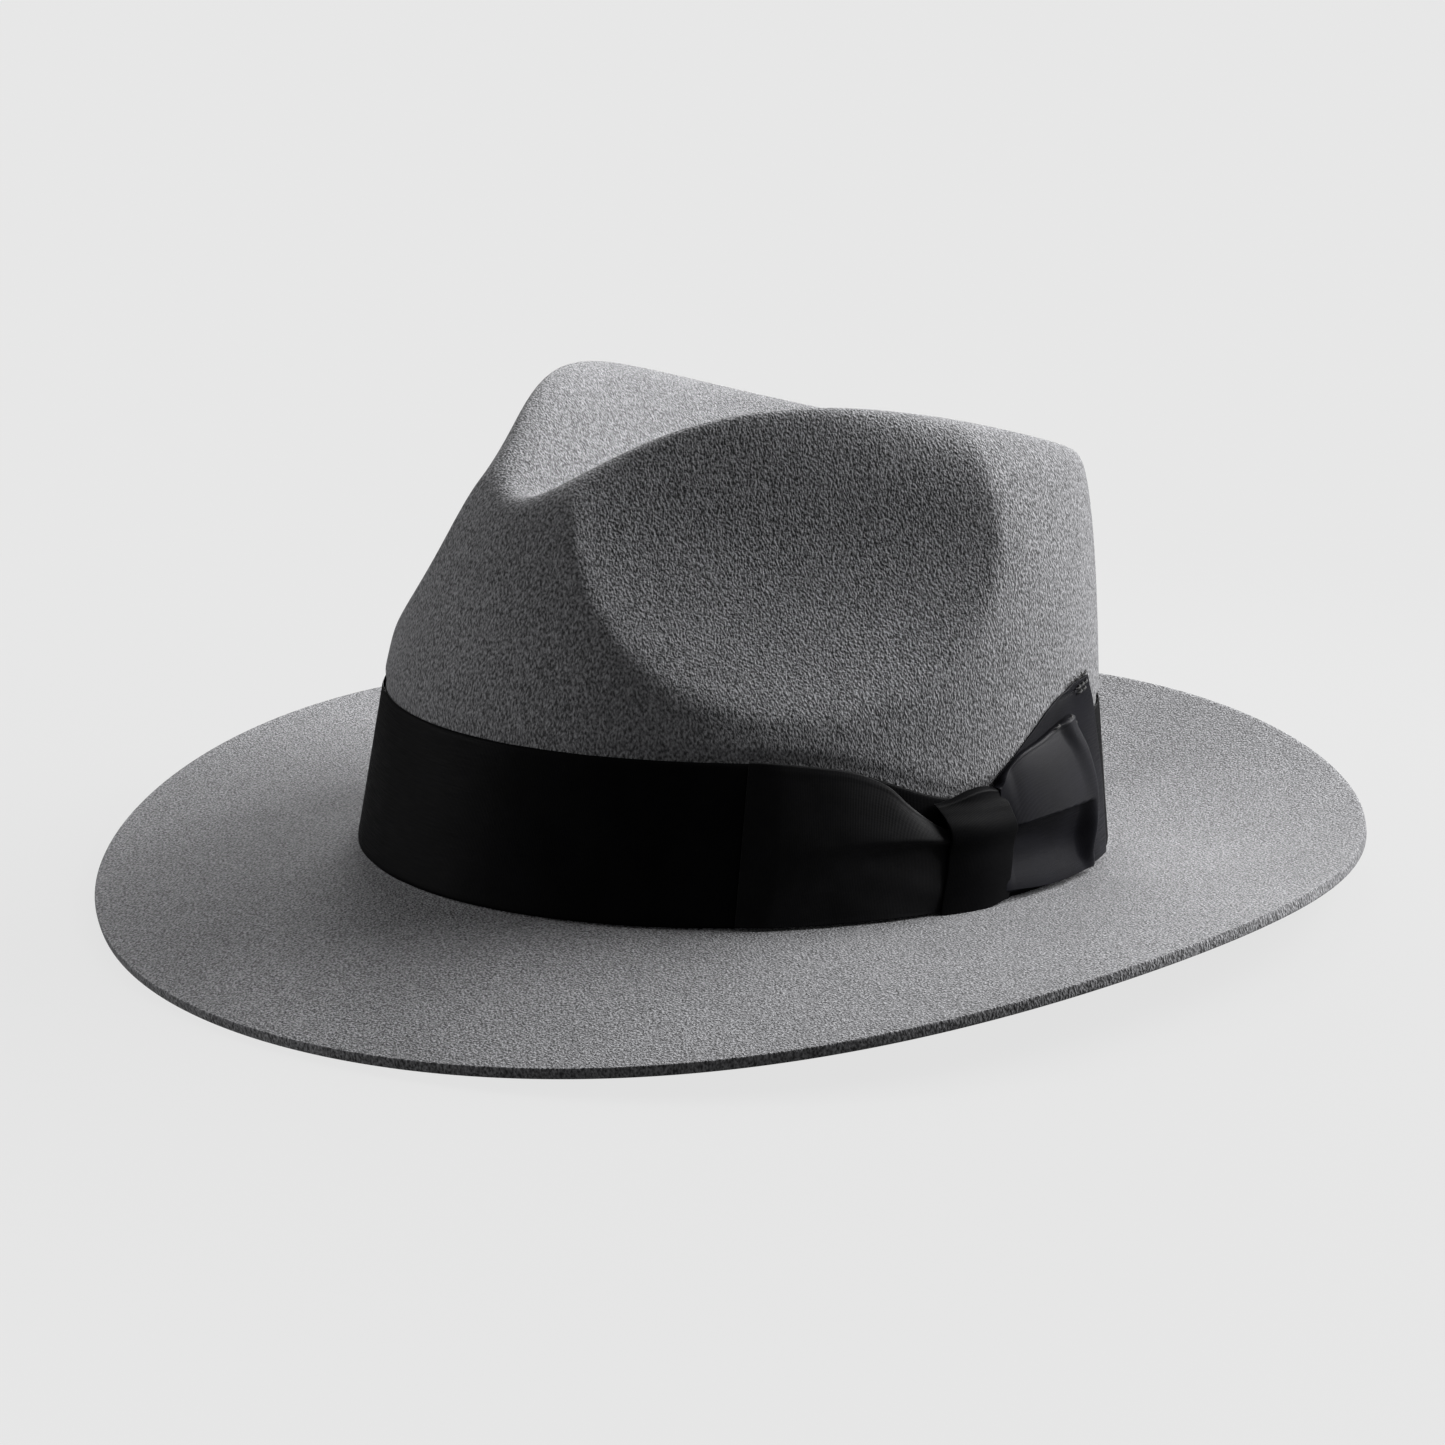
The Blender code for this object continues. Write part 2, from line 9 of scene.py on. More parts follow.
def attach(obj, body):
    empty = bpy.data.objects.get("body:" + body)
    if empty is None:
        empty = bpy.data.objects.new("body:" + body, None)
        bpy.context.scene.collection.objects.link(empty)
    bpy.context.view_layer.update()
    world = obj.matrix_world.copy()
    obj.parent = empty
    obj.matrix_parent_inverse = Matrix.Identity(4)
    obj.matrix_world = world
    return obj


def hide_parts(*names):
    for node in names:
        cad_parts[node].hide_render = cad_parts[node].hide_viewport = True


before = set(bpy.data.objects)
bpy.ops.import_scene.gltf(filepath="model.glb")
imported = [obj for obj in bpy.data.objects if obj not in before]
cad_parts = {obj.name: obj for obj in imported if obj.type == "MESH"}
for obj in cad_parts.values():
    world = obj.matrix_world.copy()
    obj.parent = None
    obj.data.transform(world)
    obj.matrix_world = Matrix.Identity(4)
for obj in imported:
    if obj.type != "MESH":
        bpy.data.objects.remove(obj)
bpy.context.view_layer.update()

MM = 0.001
TURN = 2 * math.pi
DEG = math.pi / 180
LEVEL = np.array([1, 1, 0])

# The hat is drawn in its own frame, with its head oval level, its front to -Y and the wearer's left to +X.
# Angles run from the front round to the wearer's left. This tips it back to where it rests on its brim.
REST_TILT = -2.91334 * DEG
REST_PLACE = Vector((0, -0.1065 * MM, 9.8384 * MM))
HAT_TO_ROW = Matrix.Translation(REST_PLACE) @ Matrix.Rotation(REST_TILT, 4, "X")

# Shape of the hat: the same driving sizes as its CAD frame. First the head oval at the crown's foot, over
# the ribbon, and the crown's lean up to the ribbon's top
HEAD_LONG, HEAD_WIDE = 105 * MM, 87.5 * MM
BAND_HEIGHT = 38.5 * MM
LEAN_LONG, LEAN_WIDE = 7.5 * MM, 3.1 * MM

# The ridge round the top dent, and how upright the wall comes up to it: 0 is round, 1 straight
RIDGE_HALF_WIDTH, RIDGE_HALF_LENGTH = 55.6 * MM, 82.6 * MM
RIDGE_TAPER = 0.465
RIDGE_MIDDLE_Y = 2.6 * MM
RIDGE_BACK_HEIGHT, RIDGE_SLOPE = 95.3 * MM, 0.238
FRONT_DROP, FRONT_DROP_SHARPNESS = 40.7 * MM, 5.1
WALL_RISE = 0.10
SHOULDER_FRONT, SHOULDER_SIDE, SHOULDER_BACK = 0.60, 0.11, 0.69
RIDGE_SOFTNESS = 2.5 * MM
SOFTENED_BELOW, SOFTENED_ACROSS, SOFTENED_STEP = 12, 30, 0.6 * MM

# The top dent, which closes on a floor line over the middle, and the thumb dent at each front side
DENT_LEAVE, DENT_ARRIVE = 0.35, 0.55
FLOOR_FRONT_Y, FLOOR_BACK_Y = -58 * MM, 50 * MM
FLOOR_HEIGHTS = (89.5 * MM, 83 * MM, 80 * MM)
THUMB_ANGLE, THUMB_HALF_ANGLE = 57 * DEG, 35.5 * DEG
THUMB_TOP, THUMB_HALF_HEIGHT, THUMB_DEPTH = 92.5 * MM, 43 * MM, 17.2 * MM
THUMB_SOFTNESS, THUMB_FADE = 0.05, 5

# Brim: its width along the slope, and the heights of its edge and of the crown's foot as cosine series
BRIM_WIDTH, BRIM_CURVE = 65.4 * MM, 0.25
EDGE_WAVES = (3.0 * MM, -14.6 * MM, -3.85 * MM, -1.55 * MM, 1.3 * MM)
FOOT_WAVES = (0.0, 1.6 * MM, -0.7 * MM)

# Felt, the length round it in its map, the hollow that the ribbon presses into it, and how far above the
# ribbon it has swollen out again
CROWN_FELT, BRIM_FELT = 2.0 * MM, 2.8 * MM
EDGE_ROUND, FELT_ROUND = 0.35 * MM, 0.6
RIBBON_PRESS, PRESS_START, PRESS_END = 0.9 * MM, 0.1 * MM, 4.2 * MM
GAP = 0.35 * MM

# Ribbon, and the bow that gathers it at the wearer's left. A slit is half the gap between two ends.
RIBBON_BODY, RIBBON_FOOT, RIBBON_SLIT = 0.4 * MM, 0.4 * MM, 0.15 * DEG
BOW_ANGLE = 84 * DEG
GATHER_DEPTH, GATHER_SPREAD = 11.8 * MM, 17 * DEG
PLEAT_REACH = 20 * DEG
FRAY_RADIUS, TACK_RADIUS = 0.11 * MM, 0.28 * MM

# The bow's ends, in degrees from the knot: the front loop's fold, and the loops' ends under the knot
FRONT_FOLD, UNDER_KNOT = -35.3, 4.0

# Sweatband and lining. Depths are in from the felt's inner face, and heights are over the crown's foot.
SWEATBAND_THICK, SWEATBAND_HEIGHT = 1.0 * MM, 33 * MM
SWEATBAND_FOOT_DEPTH, SWEATBAND_DEPTH = 2.9 * MM, 2.2 * MM
SWEATBAND_FOOT, SWEATBAND_LENGTH, SWEATBAND_SLIT = 0.4 * MM, 0.56, 0.2 * DEG
REED_RADIUS, REED_HEIGHT = 0.65 * MM, 1.6 * MM
TAPE_THICK, TAPE_HEIGHT, TAG_THICK = 0.45 * MM, 9 * MM, 0.4 * MM
SEAM_TAPE_FOOT, SEAM_TAPE_TOP, TAG_FOOT, TAG_TOP = 13 * MM, 31 * MM, 19 * MM, 37 * MM
BACK_STEP = 6 * DEG
STITCH_RADIUS, STITCH_RISE = 0.16 * MM, 0.18 * MM
JOIN_STITCH_RADIUS, JOIN_STITCH_RISE = 0.17 * MM, 0.2 * MM
SMALL_BOW_HEIGHT, SMALL_BOW_WIDTH = 9 * MM, 7.6 * MM
LINING_THICK, LINING_FOOT, LINING_TOP = 0.5 * MM, 18 * MM, 68 * MM
LINING_DOME, LINING_SLACK, PIPING_RADIUS = 3 * MM, 1.2 * MM, 1.0 * MM
GATHER_MEAN, GATHER_SWING = 0.9 * MM, 0.8 * MM

# How finely the pieces are cut: steps round the felt and round the inner pieces, and points up a line
STEPS, INNER_STEPS, RIBBON_STEPS = 400, 300, 420
BRIM_POINTS, BAND_POINTS, WALL_POINTS, DENT_POINTS = 55, 33, 110, 80
LIP_POINTS, THINNING = 9, 10
LINES_AT_ONCE = 40
TUBE_SIDES = 12


# ---------------------------------------------------------------- shape formulas

def angles(steps=STEPS):
    """Even steps round the hat, from the front."""
    return np.arange(steps) * TURN / steps


def waves(theta, heights):
    """A cosine series round the hat."""
    return sum(height * np.cos(i * theta) for i, height in enumerate(heights))


def oval(theta, long_half, wide_half, height):
    """Points round a level oval."""
    return np.stack([wide_half * np.sin(theta), -long_half * np.cos(theta), height + 0 * theta], -1)


def outward(theta):
    """Level direction straight out from the head oval."""
    normal = np.stack([np.sin(theta) / HEAD_WIDE, -np.cos(theta) / HEAD_LONG, 0 * theta], -1)
    return normal / np.linalg.norm(normal, axis=-1, keepdims=True)


def band_line(theta, height, out=0.0):
    """A point on the leaning band face, at a height over the crown's foot and a distance out from it."""
    low = oval(theta, HEAD_LONG, HEAD_WIDE, waves(theta, FOOT_WAVES))
    high = oval(theta, HEAD_LONG - LEAN_LONG, HEAD_WIDE - LEAN_WIDE, BAND_HEIGHT + low[..., 2])
    share = np.asarray(height + 0 * theta)[..., None] / BAND_HEIGHT
    return low + (high - low) * share + outward(theta) * np.asarray(out + 0 * theta)[..., None]


def ribbon_top(theta):
    """Height of the ribbon's upper edge, which dips where the bow gathers it."""
    off = (theta - BOW_ANGLE + math.pi) % TURN - math.pi
    return BAND_HEIGHT - GATHER_DEPTH * np.exp(-((off / GATHER_SPREAD) ** 2))


def ridge(theta):
    """The highest line of the crown, a teardrop from above with its point to the front."""
    flat_x = RIDGE_HALF_WIDTH * np.sin(theta) * (1 - RIDGE_TAPER * np.cos(theta))
    flat_y = RIDGE_MIDDLE_Y - RIDGE_HALF_LENGTH * np.cos(theta)
    from_back = RIDGE_MIDDLE_Y + RIDGE_HALF_LENGTH - flat_y
    drop = FRONT_DROP * ((1 + np.cos(theta)) / 2) ** FRONT_DROP_SHARPNESS
    return np.stack([flat_x, flat_y, RIDGE_BACK_HEIGHT + RIDGE_SLOPE * from_back - drop], -1)


def dent_floor(theta):
    """The bottom line of the top dent, over the middle of the head."""
    share = (1 - np.cos(theta)) / 2
    front, middle, back = FLOOR_HEIGHTS
    height = front * (1 - share) ** 2 + 2 * middle * share * (1 - share) + back * share**2
    return np.stack([0 * theta, FLOOR_FRONT_Y + (FLOOR_BACK_Y - FLOOR_FRONT_Y) * share, height], -1)


def bezier(p0, p1, p2, p3, s):
    """One cubic curve for each row of the four points, at the shares s."""
    s = s[None, :, None]
    p0, p1, p2, p3 = (p[:, None, :] for p in (p0, p1, p2, p3))
    return (1 - s) ** 3 * p0 + 3 * (1 - s) ** 2 * s * p1 + 3 * (1 - s) * s**2 * p2 + s**3 * p3


def thumb_dents(theta, points, s):
    """Presses a scoop into each front side of the wall."""
    for side in (1, -1):
        off = (theta * side + math.pi) % TURN - math.pi - THUMB_ANGLE
        below = np.minimum(points[..., 2] - THUMB_TOP, 0) / THUMB_HALF_HEIGHT
        reach = (off[:, None] / THUMB_HALF_ANGLE) ** 2 + below**2
        inside = (1 - reach + np.sqrt((1 - reach) ** 2 + THUMB_SOFTNESS**2)) / 2
        press = THUMB_DEPTH * inside * (1 - s[None, :] ** THUMB_FADE)
        way = np.array([side * math.sin(THUMB_ANGLE), -math.cos(THUMB_ANGLE), 0])
        points = points - press[..., None] * way
    return points


def crown_lines(theta):
    """Lines up the crown wall and down into the top dent, one for each angle."""
    low = band_line(theta, BAND_HEIGHT)
    lean = (low - band_line(theta, 0)) / BAND_HEIGHT
    top = ridge(theta)
    rise = (top - low)[:, 2:]
    s = np.linspace(0, 1, WALL_POINTS)
    ends = np.where(np.cos(theta) > 0, SHOULDER_FRONT, SHOULDER_BACK)
    upright = (SHOULDER_SIDE + (ends - SHOULDER_SIDE) * np.cos(theta) ** 2)[:, None]
    arrive = top + (low - top) * LEVEL * (1 - upright)
    wall = thumb_dents(theta, bezier(low, low + lean * WALL_RISE * rise, arrive, top, s), s)
    floor = dent_floor(theta)
    way = (floor - top) * LEVEL
    share = np.linspace(0, 1, DENT_POINTS)
    dent = bezier(top, top + way * DENT_LEAVE, floor - way * DENT_ARRIVE, floor, share)
    lines = np.concatenate([wall, dent[:, 1:]], 1)
    starts = range(0, len(lines), LINES_AT_ONCE)
    return np.concatenate([soften(lines[i:i + LINES_AT_ONCE], lean[i:i + LINES_AT_ONCE]) for i in starts])


def soften(lines, lean):
    """Averages each line over a few millimetres of its own length, across the floor line too."""
    down = np.arange(SOFTENED_BELOW, 0, -1) * SOFTENED_STEP
    below = lines[:, :1] - lean[:, None, :] * down[None, :, None]
    across = lines[:, -2:-2 - SOFTENED_ACROSS:-1] * np.array([-1, 1, 1])
    whole = np.concatenate([below, lines, across], 1)
    step = np.linalg.norm(np.diff(whole, axis=1), axis=2)
    along = np.concatenate([np.zeros((len(lines), 1)), np.cumsum(step, 1)], 1)
    span = np.gradient(along, axis=1)
    here = along[:, SOFTENED_BELOW:SOFTENED_BELOW + lines.shape[1]]
    weight = np.exp(-0.5 * ((here[:, :, None] - along[:, None, :]) / RIDGE_SOFTNESS) ** 2)
    weight = weight * span[:, None, :]
    return (weight / weight.sum(2, keepdims=True)) @ whole


def brim_line(theta, share):
    """Points across the brim, from the foot of the crown out to the edge."""
    start = band_line(theta, 0)
    climb = waves(theta, EDGE_WAVES) - start[:, 2]
    reach = np.sqrt(BRIM_WIDTH**2 - climb**2)
    way = outward(theta)
    points = start[:, None, :] + way[:, None, :] * (reach[:, None] * share)[..., None]
    points[..., 2] += climb[:, None] * share * (1 - BRIM_CURVE + BRIM_CURVE * share)
    return points


def smooth_step(x, low, high):
    """Rises from 0 at low to 1 at high, level at both."""
    t = np.clip((x - low) / (high - low), 0, 1)
    return t * t * (3 - 2 * t)


# ---------------------------------------------------------------- mesh building

def make_object(name, points, faces, corner_uv, material):
    """One mesh piece in the row frame, flat where it rests, with a UV map in metres called cloth."""
    mesh = bpy.data.meshes.new(name)
    mesh.from_pydata(points, [], faces)
    layer = mesh.uv_layers.new(name="cloth")
    layer.data.foreach_set("uv", np.asarray(corner_uv, np.float32).ravel())
    mesh.transform(HAT_TO_ROW)
    for vertex in mesh.vertices:
        vertex.co.z = max(vertex.co.z, 0)
    mesh.shade_smooth()
    mesh.materials.append(material)
    mesh.validate()
    piece = bpy.data.objects.new(name, mesh)
    bpy.context.scene.collection.objects.link(piece)
    return piece


def lengths(points, axis):
    """Running length along one axis of a grid, taken down its middle line."""
    middle = points.take(points.shape[1 - axis] // 2, axis=1 - axis)
    return np.concatenate([[0], np.cumsum(np.linalg.norm(np.diff(middle, axis=0), axis=1))])


def grid_faces(rows, columns, start, wrap_rows=False, wrap_columns=False, flip=False):
    """Quads over a grid of vertices, and for each corner the grid place its UV comes from."""
    i = np.arange(rows if wrap_rows else rows - 1)
    j = np.arange(columns if wrap_columns else columns - 1)
    i, j = (a.ravel() for a in np.meshgrid(i, j, indexing="ij"))
    corners = [(i, j), (i + 1, j), (i + 1, j + 1), (i, j + 1)]
    if flip:
        corners.reverse()
    vertex = np.stack([start + (a % rows) * columns + b % columns for a, b in corners], -1)
    place = np.stack([np.stack([a, b], -1) for a, b in corners], 1)
    return vertex, place


def tube_of_rings(name, rings, material):
    """A closed solid from rings round the hat that go round a section."""
    grid = np.stack(rings)
    count, around = grid.shape[:2]
    faces, place = grid_faces(count, around, 0, True, True)
    u = np.concatenate([lengths(grid, 1), [0]])
    u[-1] = u[-2] + np.linalg.norm(grid[0, -1] - grid[0, 0])
    v = np.concatenate([lengths(grid, 0), [0]])
    v[-1] = v[-2] + np.linalg.norm(grid[-1, 0] - grid[0, 0])
    uv = np.stack([u[place[..., 1]], v[place[..., 0]]], -1)
    return make_object(name, grid.reshape(-1, 3), faces.tolist(), uv.reshape(-1, 2), material)


def pad(name, outer, inner, material, wrap=False):
    """A closed solid between two matching grids: columns run along the piece and rows across it."""
    columns, rows = outer.shape[:2]
    size = columns * rows
    points = np.concatenate([outer.reshape(-1, 3), inner.reshape(-1, 3)])
    front, place = grid_faces(columns, rows, 0, wrap)
    back, back_place = grid_faces(columns, rows, size, wrap, flip=True)
    u, v = lengths(outer, 0), lengths(outer, 1)
    u = np.append(u, u[-1] + np.linalg.norm(outer[-1, 0] - outer[0, 0]))
    faces = [*front.tolist(), *back.tolist()]
    places = [*place.tolist(), *back_place.tolist()]
    last = columns if wrap else columns - 1
    for i in range(last):
        k = (i + 1) % columns
        for j, turn in ((0, True), (rows - 1, False)):
            a, b = i * rows + j, k * rows + j
            quad, where = [a, b, size + b, size + a], [[i, j], [i + 1, j], [i + 1, j], [i, j]]
            faces.append(quad[::-1] if turn else quad)
            places.append(where)
    if not wrap:
        for j in range(rows - 1):
            for i, turn in ((0, False), (columns - 1, True)):
                a, b = i * rows + j, i * rows + j + 1
                quad, where = [a, b, size + b, size + a], [[i, j], [i, j + 1], [i, j + 1], [i, j]]
                faces.append(quad[::-1] if turn else quad)
                places.append(where)
    places = np.array(places)
    uv = np.stack([u[places[..., 0]], v[places[..., 1]]], -1)
    return make_object(name, points, faces, uv.reshape(-1, 2), material)


def edge_round(v, width):
    """Thickness share that rounds off both ends of a 0 to 1 span."""
    near = np.clip(np.minimum(v, 1 - v) / width, 0, 1)
    return 0.25 + 0.75 * np.sqrt(1 - (1 - near) ** 2)


def spread(count, crowd=0.6):
    """Shares from 0 to 1, closer together near both ends."""
    t = np.linspace(0, 1, count)
    return (1 - crowd) * t + crowd * (1 - np.cos(math.pi * t)) / 2


# ---------------------------------------------------------------- materials

class Nodes:
    """Short calls for laying out the nodes of a material or a world."""

    def __init__(self, holder):
        holder.use_nodes = True
        self.holder = holder
        self.tree = holder.node_tree

    def add(self, kind, inputs=None, **settings):
        node = self.tree.nodes.new(kind)
        for key, value in settings.items():
            setattr(node, key, value)
        for key, value in (inputs or {}).items():
            self.feed(node.inputs[key], value)
        return node

    def feed(self, socket, value):
        if isinstance(value, bpy.types.NodeSocket):
            self.tree.links.new(value, socket)
        else:
            socket.default_value = value

    def maths(self, operation, a, b=0.0):
        return self.add("ShaderNodeMath", {0: a, 1: b}, operation=operation).outputs[0]

    def noise(self, vector, scale, detail=2.0, rough=0.5, distortion=0.0):
        inputs = {"Vector": vector, "Scale": scale, "Detail": detail, "Roughness": rough,
                  "Distortion": distortion}
        return self.add("ShaderNodeTexNoise", inputs).outputs[0]

    def ramp(self, value, stops):
        """Colours by value; each stop is a value from 0 to 1 and the colour there."""
        node = self.add("ShaderNodeValToRGB", {"Fac": value})
        elements = node.color_ramp.elements
        for i, (place, colour) in enumerate(stops):
            element = elements[i] if i < 2 else elements.new(place)
            element.position = place
            element.color = (*colour, 1)
        return node.outputs[0]

    def span(self, value, low, high):
        """Takes a noise's middle range onto low to high."""
        return self.add("ShaderNodeMapRange", {0: value, 1: 0.3, 2: 0.7, 3: low, 4: high}).outputs[0]

    def mix(self, blend, a, b):
        inputs = {0: 1.0, 6: a, 7: b}
        return self.add("ShaderNodeMix", inputs, data_type="RGBA", blend_type=blend).outputs[2]

    def mapped(self, vector, scale=(1, 1, 1), turn=(0, 0, 0)):
        inputs = {"Vector": vector, "Scale": scale, "Rotation": turn}
        return self.add("ShaderNodeMapping", inputs).outputs[0]

    def place(self):
        """Where the point is on the piece, in metres."""
        return self.add("ShaderNodeTexCoord").outputs["Object"]

    def cloth(self):
        """Metres along and across the cloth."""
        return self.add("ShaderNodeUVMap", uv_map="cloth").outputs[0]

    def bump(self, height, distance, strength=1.0, below=None):
        inputs = {"Height": height, "Distance": distance, "Strength": strength}
        if below is not None:
            inputs["Normal"] = below
        return self.add("ShaderNodeBump", inputs).outputs[0]

    def finish(self, **inputs):
        """Sets the surface's sockets, named with _ for a space, and returns the material."""
        shader = self.tree.nodes["Principled BSDF"]
        for key, value in inputs.items():
            self.feed(shader.inputs[key.replace("_", " ")], value)
        return self.holder


def new_material(name):
    return Nodes(bpy.data.materials.new(name))


def grey(value):
    """A grey with the felt's slight lean to blue."""
    return (value, value, value * 1.02)


def times(colour, factor):
    return tuple(c * factor for c in colour)


def felt_material(name, base):
    """Wool felt: a fine pebbled nap that leans one way, with painted shade between the pebbles and painted
    highlights on them, soft patches and a few pale hairs.
    """
    n = new_material(name)
    place = n.place()
    leaning = n.mapped(place, (1, 1, 0.62), (0, 45 * DEG, 45 * DEG))
    pebble = n.noise(leaning, 1900, 1.0, 0.5, 0.15)
    fine = n.noise(place, 4200, 1.0, 0.5)
    patch = n.noise(place, 22, 4.0, 0.6)
    hair = n.noise(n.mapped(place, (1400, 1400, 300)), 1.0, 1.0)
    # The pebbles' colour follows the same noise as their bump: painted shade in the gaps between them and a
    # painted highlight on their tops.
    painted_pebble_shade = n.ramp(pebble, [(0.30, grey(base * 0.28)), (0.5, grey(base)), (0.70, grey(base * 1.9))])
    worn = n.ramp(patch, [(0.3, grey(0.90)), (0.7, grey(1.08))])
    pale = n.ramp(hair, [(0.70, grey(0)), (0.80, grey(0.06))])
    colour = n.mix("ADD", n.mix("MULTIPLY", painted_pebble_shade, worn), pale)
    normal = n.bump(pebble, 0.6 * MM)
    normal = n.bump(fine, 0.06 * MM, 1.0, normal)
    return n.finish(Base_Color=colour, Roughness=0.95, Normal=normal, Sheen_Weight=0.08,
                    Sheen_Roughness=0.6, Specular_IOR_Level=0.1)


def satin_material(name, base, ribs_mm, rough, sheen, shine):
    """Woven ribbon or satin: fine ribs across its length, threads along it, and a soft shine."""
    n = new_material(name)
    cloth = n.cloth()
    parts = n.add("ShaderNodeSeparateXYZ", {0: cloth})
    across = n.maths("SINE", n.maths("MULTIPLY", parts.outputs[0], TURN / (ribs_mm * MM)))
    along = n.noise(n.mapped(cloth, (120, 2600, 1)), 1.0, 2.0)
    mottle = n.noise(n.place(), 90, 3.0, 0.6)
    colour = n.ramp(mottle, [(0.3, times(base, 0.75)), (0.7, times(base, 1.3))])
    normal = n.bump(across, 0.012 * MM)
    normal = n.bump(along, 0.02 * MM, 1.0, normal)
    return n.finish(Base_Color=colour, Roughness=n.span(along, rough - 0.06, rough + 0.08), Normal=normal,
                    Sheen_Weight=sheen, Sheen_Roughness=0.35, Specular_IOR_Level=shine)


def leather_material(name, base):
    """Smooth leather: small cells, fine creases and patches of wear."""
    n = new_material(name)
    place = n.place()
    inputs = {"Vector": place, "Scale": 1100.0}
    cells = n.add("ShaderNodeTexVoronoi", inputs, feature="DISTANCE_TO_EDGE").outputs[0]
    creases = n.noise(place, 260, 5.0, 0.6)
    wear = n.noise(place, 35, 3.0, 0.6)
    colour = n.ramp(wear, [(0.3, times(base, 0.7)), (0.72, times(base, 1.35))])
    normal = n.bump(cells, 0.12 * MM, 0.6)
    normal = n.bump(creases, 0.2 * MM, 0.35, normal)
    return n.finish(Base_Color=colour, Roughness=n.span(wear, 0.42, 0.6), Normal=normal,
                    Specular_IOR_Level=0.4)


def plain_weave_material(name, base, thread_mm, rough=0.9):
    """Matte cloth or thread with an over-and-under weave."""
    n = new_material(name)
    parts = n.add("ShaderNodeSeparateXYZ", {0: n.cloth()})
    pitch = TURN / (thread_mm * MM)
    a = n.maths("SINE", n.maths("MULTIPLY", parts.outputs[0], pitch))
    b = n.maths("SINE", n.maths("MULTIPLY", parts.outputs[1], pitch))
    weave = n.maths("MULTIPLY", a, b)
    mottle = n.noise(n.place(), 160, 3.0)
    colour = n.ramp(mottle, [(0.3, times(base, 0.75)), (0.7, times(base, 1.25))])
    return n.finish(Base_Color=colour, Roughness=rough, Normal=n.bump(weave, 0.08 * MM, 0.7),
                    Sheen_Weight=0.15)


def paper_material(name, base):
    """Paper or dull plastic with a faint fibre in it."""
    n = new_material(name)
    fibre = n.noise(n.mapped(n.place(), (1, 1, 3)), 900, 4.0, 0.7)
    colour = n.ramp(fibre, [(0.3, times(base, 0.9)), (0.7, base)])
    return n.finish(Base_Color=colour, Roughness=0.85, Normal=n.bump(fibre, 0.05 * MM, 0.4))


FELT = felt_material("felt_wool", 0.124)
# The band, knot, loops and tail are one black satin. The band and the knot keep the darkest copy. The two
# loops and the tail take copies with a lighter base colour, which is painted light for how the lamps fall on
# them, and with their own sheen and shine.
RIBBON = satin_material("ribbon_satin", (0.0024, 0.0024, 0.0027), 0.42, rough=0.5, sheen=0.005, shine=0.015)
FRONT_BOW_PAINTED_LIGHTER = satin_material("front_bow_satin_painted_lighter", (0.005, 0.005, 0.0054), 0.42, rough=0.5, sheen=0.04, shine=0.03)
REAR_BOW_PAINTED_LIGHTER = satin_material("rear_bow_satin_painted_lighter", (0.004, 0.004, 0.0058), 0.42, rough=0.5, sheen=0.0, shine=0.055)
LINING = satin_material("lining_satin", (0.045, 0.045, 0.052), 0.35, rough=0.38, sheen=0.3, shine=0.35)
LEATHER = leather_material("sweatband_leather", (0.035, 0.028, 0.024))
TAPE = plain_weave_material("tape_cloth", (0.018, 0.018, 0.018), 0.7)
THREAD = plain_weave_material("stitch_thread", (0.09, 0.085, 0.08), 0.3, 0.7)
DARK_THREAD = plain_weave_material("ribbon_thread", (0.003, 0.003, 0.003), 0.3, 0.8)
CORD = plain_weave_material("piping_cord", (0.02, 0.02, 0.02), 0.4)
REED = paper_material("reed_plastic", (0.6, 0.6, 0.57))
PAPER = paper_material("tag_paper", (0.72, 0.69, 0.62))


def settle(piece, slot, *nodes):
    """Every piece rides on the one body and may stand for CAD nodes. The slot is not used."""
    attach(piece, "root")
    if nodes:
        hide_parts(*nodes)
    return piece


# ---------------------------------------------------------------- felt

def grid_normals(grid):
    """Unit normals of a grid closed along its first axis, pointing away from the head."""
    along = np.roll(grid, -1, 0) - np.roll(grid, 1, 0)
    across = np.gradient(grid, axis=1)
    normal = np.cross(along, across)
    size = np.linalg.norm(normal, axis=2, keepdims=True)
    return normal / np.maximum(size, 1e-12)


def pressed(points, theta):
    """Presses the wall in under the ribbon, and lets it swell out again just above the ribbon's edge."""
    height = points[..., 2] - waves(theta, FOOT_WAVES)[:, None]
    edge = ribbon_top(theta)[:, None]
    press = RIBBON_PRESS * (1 - smooth_step(height, edge + PRESS_START, edge + PRESS_END))
    return points - outward(theta)[:, None, :] * press[..., None]


def felt_section():
    """Rings of the felt from the floor line of its inside, round the cut edge, to the floor line on top."""
    theta = angles()
    brim = brim_line(theta, np.linspace(1, 0, BRIM_POINTS, endpoint=False))
    heights = np.linspace(0, BAND_HEIGHT, BAND_POINTS, endpoint=False)
    t, height = np.meshgrid(theta, heights, indexing="ij")
    wall = np.concatenate([band_line(t, height), crown_lines(theta)], 1)
    top = np.concatenate([brim, pressed(wall, theta)], 1)
    foot = brim.shape[1]
    thick = np.full(top.shape[1], CROWN_FELT)
    thick[:foot] = BRIM_FELT
    thick[foot:foot + THINNING] = np.linspace(BRIM_FELT, CROWN_FELT, THINNING)
    under = top - grid_normals(top) * thick[None, :, None]
    under[:, -1] = top[:, -1] - np.array([0, 0, CROWN_FELT])
    turn = np.linspace(0, math.pi, LIP_POINTS + 2)[1:-1]
    side = (1 + np.sign(np.cos(turn)) * np.abs(np.cos(turn)) ** 0.6) / 2
    bulge = EDGE_ROUND * np.sin(turn) ** 0.6
    lip = top[:, :1] * side[None, :, None] + under[:, :1] * (1 - side)[None, :, None]
    lip = lip + outward(theta)[:, None, :] * bulge[None, :, None]
    return np.concatenate([under[:, ::-1], lip[:, ::-1], top], 1)


